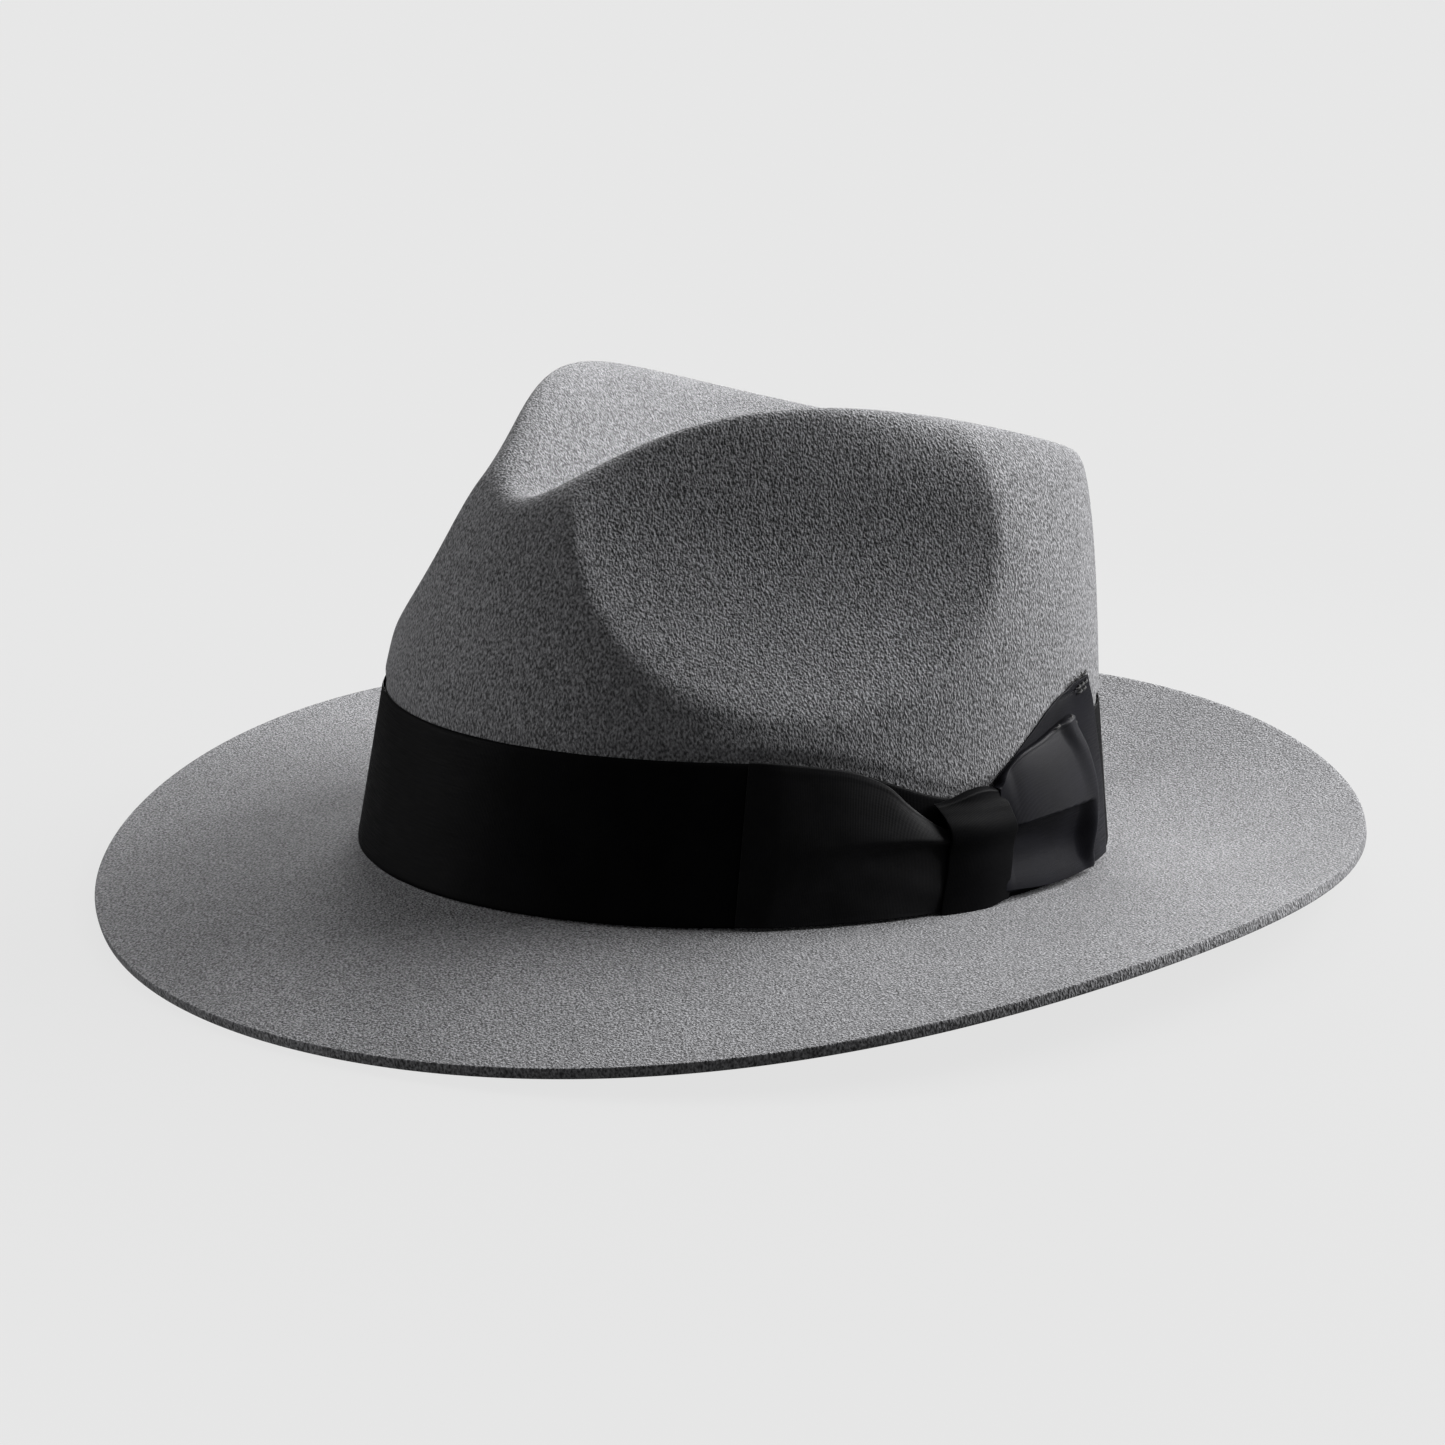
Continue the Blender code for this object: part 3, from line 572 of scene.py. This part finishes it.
def sew_felt(section, name, material):
    """Closes the section grid along the floor line at both of its ends."""
    count, rings = section.shape[:2]
    half = count // 2
    points, index = [], np.zeros((rings, count), int)
    for j in range(rings):
        if j in (0, rings - 1):
            line = section[:half + 1, j] * np.array([0, 1, 1])
            first = len(points)
            points.extend(line)
            index[j, :half + 1] = first + np.arange(half + 1)
            index[j, half + 1:] = first + np.arange(half - 1, 0, -1)
        else:
            first = len(points)
            points.extend(section[:, j])
            index[j] = first + np.arange(count)
    v = np.concatenate([[0], np.cumsum(np.linalg.norm(np.diff(section[0], axis=0), axis=1))])
    u = np.linspace(0, FELT_ROUND, count + 1)
    faces, uvs = [], []
    for j in range(rings - 1):
        for i in range(count):
            k = (i + 1) % count
            corners = [(index[j, i], i, j), (index[j, k], i + 1, j), (index[j + 1, k], i + 1, j + 1),
                       (index[j + 1, i], i, j + 1)]
            seen, quad = set(), []
            for corner in corners:
                if corner[0] not in seen:
                    seen.add(corner[0])
                    quad.append(corner)
            if len(quad) > 2:
                faces.append([int(c[0]) for c in quad])
                uvs.extend((u[c[1]], v[c[2]]) for c in quad)
    return make_object(name, np.array(points), faces, uvs, material)


settle(sew_felt(felt_section(), "felt_hat", FELT), "felt", "felt_body")


# ---------------------------------------------------------------- ribbon and bow

def ribbon():
    """The ribbon round the crown. Its face ripples faintly, and it is pleated near the bow."""
    around = BOW_ANGLE + np.linspace(RIBBON_SLIT, TURN - RIBBON_SLIT, RIBBON_STEPS)
    theta, share = np.meshgrid(around, spread(24), indexing="ij")
    height = RIBBON_FOOT + (ribbon_top(theta) - RIBBON_FOOT) * share
    from_bow = (theta - BOW_ANGLE + math.pi) % TURN - math.pi
    ripple = 0.06 * np.sin(9 * theta + 1) + 0.048 * np.sin(23 * theta + 4 * share)
    pleats = 0.1 * np.exp(-((from_bow / PLEAT_REACH) ** 2)) * np.sin(16 * share)
    face = (ripple + pleats - 0.1) * MM
    body = RIBBON_BODY * edge_round(share, 0.025)
    outer = band_line(theta, height, face - (RIBBON_BODY - body) / 2)
    inner = band_line(theta, height, face - (RIBBON_BODY + body) / 2)
    piece = pad("ribbon_round_crown", outer, inner, RIBBON)
    settle(piece, "ribbon", "ribbon_band")


def through(x, *stops):
    """A smooth curve through a few stops, each an x and a value, and level past the first and last."""
    at, value = np.array(stops, float).T
    slope = np.gradient(value, at)
    slope[0] = slope[-1] = 0
    x = np.clip(x, at[0], at[-1])
    i = np.clip(np.searchsorted(at, x) - 1, 0, len(at) - 2)
    step = at[i + 1] - at[i]
    t = (x - at[i]) / step
    start, end = value[i], value[i + 1]
    return ((1 + 2 * t) * (1 - t) ** 2 * start + t * (1 - t) ** 2 * step * slope[i]
            + t * t * (3 - 2 * t) * end + t * t * (t - 1) * step * slope[i + 1])


def quarter_round(x, width):
    """Rises from 0 at the edge to 1, as a quarter circle."""
    return np.sqrt(1 - (1 - np.clip(x / width, 0, 1)) ** 2)


def bow_patch(name, node, place, columns, rows, material):
    """A folded piece of ribbon. place(u, v) gives grids of degrees from the knot and of millimetres: height
    over the crown's foot, and the distance out of its outer and inner faces."""
    u, v = np.meshgrid(spread(columns, 0.5), spread(rows, 0.5), indexing="ij")
    along, height, outer, inner = place(u, v)
    theta = BOW_ANGLE + along * DEG
    faces = [band_line(theta, height * MM, out * MM) for out in (outer, inner)]
    piece = pad(name, *faces, material)
    settle(piece, "ribbon", node)


def front_loop(u, v):
    """The long loop. Its top edge dives into the knot, and its lower half folds back under a long crease."""
    along = FRONT_FOLD - (UNDER_KNOT + FRONT_FOLD) * u
    high = through(along, (FRONT_FOLD, 38.7), (-27, 37.7), (-17.8, 34.6), (-14.2, 31.6), (-11.5, 27.6),
                   (-8.3, 23.6), (-6, 21.2), (-4, 20))
    height = 0.8 + (high - 0.8) * v
    crease = through(along, (FRONT_FOLD, 17.5), (-28, 19), (-19.5, 20.3), (-12, 19.8), (-4, 18.3))
    bulge = through(along, (FRONT_FOLD, 2.2), (-31, 3.2), (-24, 3.9), (-14, 4.2), (-7, 3.9), (-4, 3.3))
    soft = through(along, (FRONT_FOLD, 15), (-27, 9), (-18, 3.2), (-10, 1.6), (-4, 1.2))
    above = np.clip((height - crease) / np.maximum(high - crease, 0.5), 0, 1)
    under = np.clip(crease - height, 0, None)
    top = bulge - (bulge - 1.7) * above**1.4 + 0.08 * np.exp(-((above - 0.93) / 0.05) ** 2)
    back = 1.55 + 0.5 * np.sin(math.pi * np.clip(under / 18, 0, 1))
    outer = back + (top - back) * np.exp(-((under / soft) ** 2))
    wrinkle = 0.09 * np.sin(height * 0.7 + along * 0.4) * smooth_step(along, -26, -12) * (1 - above)
    outer = 0.75 + (outer + wrinkle - 0.75) * smooth_step(u, -0.03, 0.16)
    return along, height, outer, 0.3 + 0 * u


def rear_loop(u, v):
    """The short flared loop. Its upper half hangs over a deep fold that stops short of the rolled end."""
    end = through(v, (0, 29.6), (0.12, 28.2), (0.3, 29.0), (0.5, 29.4), (0.78, 27.4), (1, 24.2))
    along = UNDER_KNOT + (end - UNDER_KNOT) * u
    high = through(along, (4, 28.6), (5.5, 31), (7.5, 33.6), (14.3, 37.6), (24.2, 41.4))
    low = through(along, (4, 3.2), (15, 1.9), (29.6, 2.0))
    height = low + (high - low) * v
    crease = through(along, (4, 18.8), (14, 20.2), (22, 20.6), (29.6, 20.2))
    above = np.clip((height - crease) / (high - crease), 0, 1)
    under = np.clip((crease - height) / (crease - low), 0, 1)
    swell = through(u, (0, 0.35), (0.12, 0.6), (0.4, 0.95), (0.75, 1), (1, 0.9))
    deep = smooth_step(u, 0.0, 0.15) * (1 - smooth_step(u, 0.72 + 0.1 * under, 0.86 + 0.1 * under))
    upper = 1.9 + 4.7 * swell * (1 - above) ** 0.75 + 0.10 * smooth_step(above, 0.95, 0.98)
    roll = through(u, (0, 0.10), (0.35, 0.20), (0.8, 0.36), (1, 0.36))
    lower = 1.4 + 1.3 * smooth_step(under, 0.45, 1) + (4.6 * swell - 1.9) * np.exp(-((under / roll) ** 2))
    lip = smooth_step(height - crease, -0.4, 0.25)
    joined = 1.9 + 4.5 * swell * np.cos((height - 19) / 24 * (1.25 + 0.4 * under))
    outer = (lower + (upper - lower) * lip) * deep + joined * (1 - deep)
    outer = 1.6 + (outer - 1.6) * quarter_round(1 - u, 0.13)
    return along, height, outer, 0.95 + 0 * u


def tail(u, v):
    """The under ribbon, whose slanted cut end stands above the band. It is creased where it was folded."""
    height = 1.8 + (47.0 + 0.9 * u) * v
    left = through(height, (2, 3), (28, 4.2), (31.5, 5.8), (35, 9), (40, 13.6), (46.2, 20.4), (49, 25.4))
    right = through(height, (2, 37.4), (21.5, 37), (33, 35.2), (42, 33.4), (49.7, 30.9))
    along = left + (right - left) * u
    crease = through(along, (3, 0), (23, 0.15), (29.4, 1.0), (37.4, 0))
    outer = 0.75 + 0.55 * crease + 0.3 * smooth_step(height, 38, 49) + 0.9 * smooth_step(along, 24, 37)
    return along, height, outer, outer - 0.38


def knot(u, v):
    """The wrap round the middle, which follows the loops it gathers and turns in over their edges."""
    high = through(u, (0, 26.6), (0.75, 29.1), (1, 28.3))
    low = through(u, (0, -0.3), (0.6, -0.3), (1, 0.9))
    height = low + (high - low) * v
    left = through(height, (0, -5.9), (11.5, -5.2), (19.5, -5.4), (24, -6.2), (26.6, -7.0))
    right = through(height, (0, 6.2), (11, 6.6), (18.5, 6.8), (23, 5.9), (28.3, 4.9))
    along = left + (right - left) * u
    over_front = through(height, (0, 2.3), (10, 2.8), (15, 3.3), (18.5, 4.6), (21.5, 4.4), (24.5, 3.0),
                         (27, 2.0))
    over_rear = through(height, (0, 2.4), (10, 3.0), (16, 3.4), (19, 4.5), (24, 3.9), (29, 2.7))
    belly = through(height, (0, 0.9), (10, 1.1), (19, 0.9), (29, 0.6)) * np.sin(math.pi * u) ** 0.8
    outer = over_front + (over_rear - over_front) * smooth_step(u, 0, 1) + belly
    outer = 1.0 + (outer - 1.0) * quarter_round(np.minimum(v, 1 - v), 0.02)
    return along, height, outer, outer - 0.5


def row_points(points):
    """Moves points from the hat's own frame to where it rests."""
    return [HAT_TO_ROW @ Vector(point) for point in points]


def threads(name, paths, radius, material, slot):
    """Short lengths of thread, each a round tube with closed ends."""
    curve = bpy.data.curves.new(name, "CURVE")
    curve.dimensions = "3D"
    curve.bevel_depth = radius
    curve.bevel_resolution = 1
    curve.use_fill_caps = True
    for path in paths:
        spline = curve.splines.new("POLY")
        spline.points.add(len(path) - 1)
        for point, place in zip(spline.points, path):
            point.co = (*place, 1)
    holder = bpy.data.objects.new(name, curve)
    bpy.context.scene.collection.objects.link(holder)
    bpy.context.view_layer.update()
    mesh = bpy.data.meshes.new_from_object(holder.evaluated_get(bpy.context.evaluated_depsgraph_get()))
    bpy.data.objects.remove(holder)
    mesh.name = name
    mesh.uv_layers.new(name="cloth")
    mesh.materials.clear()
    mesh.materials.append(material)
    piece = bpy.data.objects.new(name, mesh)
    bpy.context.scene.collection.objects.link(piece)
    settle(piece, slot)


def bow_thread(degrees, height, out):
    """Points along a thread on the bow, in degrees from the knot and millimetres."""
    return row_points(band_line(BOW_ANGLE + degrees * DEG, height * MM, out * MM))


def frayed_end():
    """Loose threads along the cut end of the tail."""
    dice = random.Random(7)
    s = np.linspace(0, 1, 5)
    paths = []
    for share in np.linspace(0, 1, 22):
        degrees, height = 25.2 + 6.0 * share, 48.4 + 0.9 * share
        lean, reach, curl = dice.uniform(-1.2, 1.2), dice.uniform(0.5, 1.9), dice.uniform(-0.3, 0.5)
        paths.append(bow_thread(degrees + lean * s**2, height + reach * s, 1.1 + curl * s**2))
    threads("tail_fray", paths, FRAY_RADIUS, DARK_THREAD, "ribbon")


def tack_stitches():
    """Short stitches that hold the rear loop and the turned tip of the tail."""
    places = ((18.4, 39.9, 2.5), (22.4, 41.2, 2.7), (23.4, 39.6, 2.9), (26.4, 47.6, 2.1),
              (27.8, 48.0, 2.2), (29.2, 48.4, 2.3), (27.0, 46.4, 2.1), (28.6, 46.8, 2.2))
    paths = []
    for degrees, height, out in places:
        paths.append(bow_thread(degrees + np.array([-0.5, -0.35, 0.35, 0.5]),
                                height + np.array([-0.35, -0.2, 0.2, 0.35]),
                                out + np.array([-0.35, 0.1, 0.1, -0.35])))
    threads("bow_tack_stitches", paths, TACK_RADIUS, DARK_THREAD, "ribbon")


ribbon()
bow_patch("bow_tail_ribbon", "bow_tail", tail, 60, 80, REAR_BOW_PAINTED_LIGHTER)
bow_patch("bow_loop_front", "bow_front_loop", front_loop, 130, 110, FRONT_BOW_PAINTED_LIGHTER)
bow_patch("bow_loop_rear", "bow_rear_loop", rear_loop, 130, 120, REAR_BOW_PAINTED_LIGHTER)
bow_patch("bow_wrap", "bow_knot", knot, 50, 90, RIBBON)
frayed_end()
tack_stitches()


# ---------------------------------------------------------------- inside the hat

def felt_face(theta, height, depth):
    """Points inside the hat, at a height over the foot and a depth in from the felt's inner face."""
    return band_line(theta, height, -RIBBON_PRESS - CROWN_FELT - depth)


def inside_strip(name, node, slot, theta, low, high, depth, thick, material, rows, wrap=False):
    """A strip on the inside of the wall. depth(t, height) is how far its hidden face is from the felt."""
    t, share = np.meshgrid(theta, spread(rows), indexing="ij")
    height = low + (high - low) * share
    body = thick * edge_round(share, 0.05)
    middle = depth(t, height) + thick / 2
    piece = pad(name, felt_face(t, height, middle - body / 2), felt_face(t, height, middle + body / 2),
                material, wrap)
    return settle(piece, slot, node)


def level_depth(depth):
    """A strip's depth(t, height) that is the same everywhere."""
    return lambda t, height: depth + 0 * t


def sweatband_depth(theta, height):
    """The sweatband stands off the felt at its foot, where the reed is, and ripples faintly above it."""
    ease = np.clip((height - 3 * MM) / (8 * MM), 0, 1)
    ripple = 0.12 * MM * np.sin(5 * theta) * np.clip((height - 12 * MM) / (15 * MM), 0, 1)
    return SWEATBAND_FOOT_DEPTH + (SWEATBAND_DEPTH - SWEATBAND_FOOT_DEPTH) * ease + ripple


def on_leather(t, height, rise):
    """Points along a stitch, a rise over the sweatband's face."""
    return row_points(felt_face(t, height, sweatband_depth(t, height) + SWEATBAND_THICK + rise))


def stitch_row(name, height, length, gap, slant=0.0):
    """A row of stitches round the sweatband's face."""
    count = int(SWEATBAND_LENGTH / (length + gap))
    share = length / (length + gap)
    paths = []
    for i in range(1, count - 1):
        start = math.pi + TURN * (i + 0.5 * (1 - share)) / count
        t = start + TURN / count * share * np.array([0, 0.12, 0.5, 0.88, 1])
        up = height + slant * np.array([-0.5, -0.4, 0, 0.4, 0.5])
        paths.append(on_leather(t, up, np.array([-0.2, 0.8, 1.0, 0.8, -0.2]) * STITCH_RISE))
    threads(name, paths, STITCH_RADIUS, THREAD, "sweatband_leather")


def join_stitches():
    """A column of crossed stitches up the butted ends of the leather."""
    paths = []
    for low in 7 * MM + 2.8 * MM * np.arange(9):
        for lean in (1, -1):
            t = math.pi + lean * 0.9 * DEG * np.array([-1, -0.8, 0, 0.8, 1])
            up = low + 2.0 * MM * np.array([0, 0.1, 0.5, 0.9, 1])
            paths.append(on_leather(t, up, np.array([-0.2, 0.8, 1.2, 0.8, -0.2]) * JOIN_STITCH_RISE))
    threads("sweatband_join_stitches", paths, JOIN_STITCH_RADIUS, THREAD, "sweatband_leather")


def sweatband():
    """The leather strip inside the opening, butted at the back, with its stitching."""
    theta = math.pi + np.linspace(SWEATBAND_SLIT, TURN - SWEATBAND_SLIT, RIBBON_STEPS)
    leather = inside_strip("sweatband_leather_strip", "sweatband", "sweatband_leather", theta,
                           SWEATBAND_FOOT, SWEATBAND_HEIGHT, sweatband_depth, SWEATBAND_THICK, LEATHER, 26)
    stitch_row("sweatband_foot_stitches", 3.6 * MM, 2.4 * MM, 1.0 * MM, 0.5 * MM)
    stitch_row("sweatband_top_stitches", 30.6 * MM, 2.2 * MM, 0.9 * MM)
    join_stitches()


def reed_and_tape():
    """The reed in the sweatband's foot, and the cloth tape between it and the felt."""
    theta = angles(INNER_STEPS)
    depth = GAP + TAPE_THICK + GAP + REED_RADIUS
    rings = [felt_face(theta, REED_HEIGHT + REED_RADIUS * math.cos(turn),
                       depth + REED_RADIUS * math.sin(turn)) for turn in angles(TUBE_SIDES)]
    settle(tube_of_rings("sweatband_reed_rod", rings, REED), "reed_plastic", "sweatband_reed")
    tape = inside_strip("reed_cloth_tape", "reed_tape", "tape_cloth", theta, SWEATBAND_FOOT, TAPE_HEIGHT,
                        level_depth(GAP), TAPE_THICK, TAPE, 8, True)


def back_pieces():
    """The cloth behind the sweatband's join, and the blank size tag beside it."""
    behind = level_depth(GAP + LINING_THICK + GAP)
    tape = inside_strip("sweatband_join_tape", "sweatband_seam_tape", "tape_cloth",
                        math.pi + BACK_STEP * np.linspace(-1, 1, 14), SEAM_TAPE_FOOT, SEAM_TAPE_TOP,
                        behind, TAG_THICK, TAPE, 12)
    inside_strip("size_tag_paper", "size_tag", "tag_paper", math.pi + BACK_STEP * np.linspace(2, 4, 14),
                 TAG_FOOT, TAG_TOP, behind, TAG_THICK, PAPER, 12)


def small_bow():
    """The flat leather bow over the sweatband's join: two wings with forked ends and a belt round them."""
    u, v = np.meshgrid(np.linspace(0, 1, 91), np.linspace(0, 1, 13), indexing="ij")
    across = 2 * u - 1
    wing = np.abs(across)
    waist = 0.34 + 0.66 * smooth_step(wing, 0.06, 0.75) - 0.25 * smooth_step(wing, 0.86, 1.0)
    height = SMALL_BOW_HEIGHT + (v - 0.5) * SMALL_BOW_WIDTH * waist - 0.9 * MM * wing**2
    theta = math.pi + across * BACK_STEP * 0.98
    puff = np.sin(math.pi * np.clip((wing - 0.1) / 0.9, 0, 1)) * (0.5 + 0.5 * np.sin(math.pi * v))
    crease = np.exp(-(((v - 0.5) / 0.12) ** 2)) * np.exp(-(((wing - 0.15) / 0.25) ** 2))
    belt = 0.8 * (1 - smooth_step(wing, 0.09, 0.13))
    front = (0.75 + 0.9 * puff - 0.35 * crease + belt) * MM
    base = sweatband_depth(theta, height) + SWEATBAND_THICK + 0.2 * MM
    bow = pad("sweatband_bow_leather", felt_face(theta, height, base), felt_face(theta, height, base + front),
              LEATHER)
    settle(bow, "sweatband_leather", "sweatband_bow")


def wall_inside(theta, height, depth):
    """Points at level heights over the head oval, a depth straight in from the crown's outer face."""
    lines = np.concatenate([band_line(theta, 0)[:, None, :], crown_lines(theta)[:, :WALL_POINTS]], 1)
    cut = [[np.interp(h, line[:, 2], line[:, axis]) for axis in (0, 1)] + [h]
           for line, heights in zip(lines, height) for h in heights]
    cut = np.array(cut).reshape(*height.shape, 3)
    return cut - outward(theta)[:, None, :] * depth[..., None]


def lining():
    """The satin side with its soft gathers, the piping on the seam, and the satin top under the dent."""
    theta = angles(INNER_STEPS)
    t, share = np.meshgrid(theta, spread(40, 0.3), indexing="ij")
    height = LINING_FOOT + (LINING_TOP - LINING_FOOT) * share
    slack = LINING_SLACK * smooth_step(height, BAND_HEIGHT - 4 * MM, 46 * MM)
    gathers = 0.45 * np.sin(31 * t + 2 * np.sin(3 * t)) + 0.3 * np.sin(53 * t + 1.3) + 0.25 * np.sin(17 * t)
    folds = (GATHER_MEAN + GATHER_SWING * gathers) * smooth_step(height, 36 * MM, 60 * MM)
    depth = RIBBON_PRESS + CROWN_FELT + GAP + slack + folds
    side = pad("lining_side", wall_inside(theta, height, depth),
               wall_inside(theta, height, depth + LINING_THICK), LINING, True)
    settle(side, "lining_satin", "lining_wall")

    level = np.full((len(theta), 1), LINING_TOP)
    side_depth = RIBBON_PRESS + CROWN_FELT + GAP + LINING_SLACK + GATHER_MEAN + GATHER_SWING + LINING_THICK
    seam = wall_inside(theta, level, side_depth + GAP + PIPING_RADIUS + 0 * level)[:, 0]
    way = outward(theta)
    rings = []
    for turn in angles(TUBE_SIDES):
        twist = PIPING_RADIUS * (1 + 0.06 * np.sin(150 * theta + turn))[:, None]
        rings.append(seam + way * twist * math.sin(turn) + np.array([0, 0, 1]) * twist * math.cos(turn))
    settle(tube_of_rings("lining_piping_cord", rings, CORD), "piping_cord", "lining_piping")

    edge = seam - way * (PIPING_RADIUS + GAP)
    middle = edge.mean(0)
    reach = np.linspace(1, 0.06, 30)
    grid = middle + (edge - middle)[:, None, :] * reach[None, :, None]
    radial = (0.5 * np.sin(31 * theta + 2 * np.sin(3 * theta)) + 0.4 * np.sin(53 * theta + 1.3))[:, None]
    slack = 0.55 * np.sin(2 * theta + 0.6)[:, None] * np.sin(math.pi * reach)[None, :]
    lift = LINING_DOME * (1 - reach**2)[None, :] + MM * (0.5 * radial * reach[None, :] ** 6 + slack)
    grid[..., 2] = LINING_TOP + lift
    below = grid - np.array([0, 0, LINING_THICK])
    tip = capped_disc("lining_top", grid, below, LINING)
    settle(tip, "lining_satin", "lining_tip")


def capped_disc(name, upper, lower, material):
    """A closed thin disc from two matching grids of rings that shrink towards a middle point."""
    count, rings = upper.shape[:2]
    size = count * rings + 1
    points, faces, uvs = [], [], []
    for grid in (upper, lower):
        points += [*grid.reshape(-1, 3), grid[:, -1].mean(0)]
    flat = np.array(points)[:, :2]
    for start, turn in ((0, False), (size, True)):
        for i in range(count):
            k = (i + 1) % count
            for j in range(rings - 1):
                a, b = start + i * rings + j, start + k * rings + j
                face = [a, b, b + 1, a + 1]
                faces.append(face[::-1] if turn else face)
            face = [start + i * rings + rings - 1, start + k * rings + rings - 1, start + size - 1]
            faces.append(face[::-1] if turn else face)
    for i in range(count):
        k = (i + 1) % count
        faces.append([size + i * rings, size + k * rings, k * rings, i * rings])
    for face in faces:
        uvs += [flat[v] for v in face]
    return make_object(name, points, [[int(v) for v in face] for face in faces], uvs, material)


sweatband()
reed_and_tape()
lining()
back_pieces()
small_bow()


# ---------------------------------------------------------------- camera, floor and light

# The camera in the hat's own frame, with its lens in millimetres
CAMERA_AROUND, CAMERA_UP, CAMERA_ROLL = 43.8145 * DEG, 14.9650 * DEG, 2.3069 * DEG
CAMERA_AWAY = 876.484 * MM
CAMERA_LENS, SENSOR_WIDTH = 84.66, 36
SHIFT_X, SHIFT_Y = -0.01261, 0.07328

# How bright the backdrop looks, and how much the world and the floor light the hat
BACKDROP_SEEN, WORLD_LIGHTS, FLOOR_LIGHTS = 0.80, 0.22, 0.12

# The floor answers to light only near the hat, from one distance out to the other
FLOOR_HALF = 8.0
NEAR_END, FAR_START = 0.16, 0.46
FLOOR_TINT, FLOOR_LIT = 0.02, 0.056

LIGHT_AWAY, LIGHT_HEIGHT = 1.5, 60 * MM


def camera():
    """The view from the hat's front left, a little above it."""
    cos_up = math.cos(CAMERA_UP)
    back = Vector((math.sin(CAMERA_AROUND) * cos_up, -math.cos(CAMERA_AROUND) * cos_up, math.sin(CAMERA_UP)))
    right = Vector((math.cos(CAMERA_AROUND), math.sin(CAMERA_AROUND), 0))
    up = back.cross(right)
    turn = Matrix((right, up, back)).transposed().to_4x4() @ Matrix.Rotation(CAMERA_ROLL, 4, "Z")
    data = bpy.data.cameras.new("camera")
    data.lens = CAMERA_LENS
    data.sensor_width = SENSOR_WIDTH
    data.shift_x, data.shift_y = SHIFT_X, SHIFT_Y
    data.clip_start, data.clip_end = 0.05, 50
    view = bpy.data.objects.new("camera", data)
    view.matrix_world = HAT_TO_ROW @ Matrix.Translation(back * CAMERA_AWAY) @ turn
    bpy.context.scene.collection.objects.link(view)
    bpy.context.scene.camera = view


def area_light(name, around, up, size, power):
    """A soft box that faces the hat, a turn round from the camera to its right and a turn up, in degrees."""
    angle, up = CAMERA_AROUND + around * DEG, up * DEG
    flat = math.cos(up)
    place = Vector((math.sin(angle) * flat, -math.cos(angle) * flat, math.sin(up))) * LIGHT_AWAY
    data = bpy.data.lights.new(name, "AREA")
    data.size = size
    data.energy = power
    light = bpy.data.objects.new(name, data)
    light.location = place + Vector((0, 0, LIGHT_HEIGHT))
    light.rotation_euler = place.to_track_quat("Z", "Y").to_euler()
    bpy.context.scene.collection.objects.link(light)


def pale_backdrop(n, shader, colour, strength, seen, lights):
    """Shows an even pale tone while it lights the hat with a dimmer one."""
    camera_sees = n.add("ShaderNodeLightPath").outputs["Is Camera Ray"]
    pick = n.add("ShaderNodeMapRange", {0: camera_sees, 3: lights, 4: seen})
    n.feed(n.tree.nodes[shader].inputs[strength], pick.outputs[0])
    n.feed(n.tree.nodes[shader].inputs[colour], (1, 1, 1, 1))


def floor():
    """A pale floor. It takes a faint shadow near the hat and is even everywhere else."""
    corners = [(x * FLOOR_HALF, y * FLOOR_HALF, 0) for x, y in ((-1, -1), (1, -1), (1, 1), (-1, 1))]
    mesh = bpy.data.meshes.new("floor")
    mesh.from_pydata(corners, [], [(0, 1, 2, 3)])
    piece = bpy.data.objects.new("floor", mesh)
    bpy.context.scene.collection.objects.link(piece)
    n = new_material("studio_floor")
    away = n.add("ShaderNodeVectorMath", {0: n.place()}, operation="LENGTH").outputs["Value"]
    near = n.add("ShaderNodeMapRange", {0: away, 1: NEAR_END, 2: FAR_START, 3: 1.0, 4: 0.0},
                 interpolation_type="SMOOTHERSTEP").outputs[0]
    tone = n.add("ShaderNodeMix", {0: near, 6: (0, 0, 0, 1), 7: (FLOOR_TINT, FLOOR_TINT, FLOOR_TINT, 1)},
                 data_type="RGBA").outputs[2]
    seen = n.maths("SUBTRACT", BACKDROP_SEEN, n.maths("MULTIPLY", near, FLOOR_LIT))
    pale_backdrop(n, "Principled BSDF", "Emission Color", "Emission Strength", seen, FLOOR_LIGHTS)
    mesh.materials.append(n.finish(Base_Color=tone, Roughness=1.0, Specular_IOR_Level=0.0))


def studio():
    """An even pale world and four soft boxes: a key behind the bow, and three rims."""
    floor()
    world = bpy.data.worlds.new("studio")
    bpy.context.scene.world = world
    pale_backdrop(Nodes(world), "Background", "Color", "Strength", BACKDROP_SEEN, WORLD_LIGHTS)
    area_light("key", 114.5, 31, size=1.2, power=92)
    area_light("top_back", 172, 50, size=0.6, power=12.5)
    area_light("low_back", 180, 12, size=0.6, power=22)
    area_light("left_rim", -94, 13, size=0.6, power=11)


camera()
studio()
bpy.context.scene.view_settings.view_transform = "Standard"

bpy.context.view_layer.update()
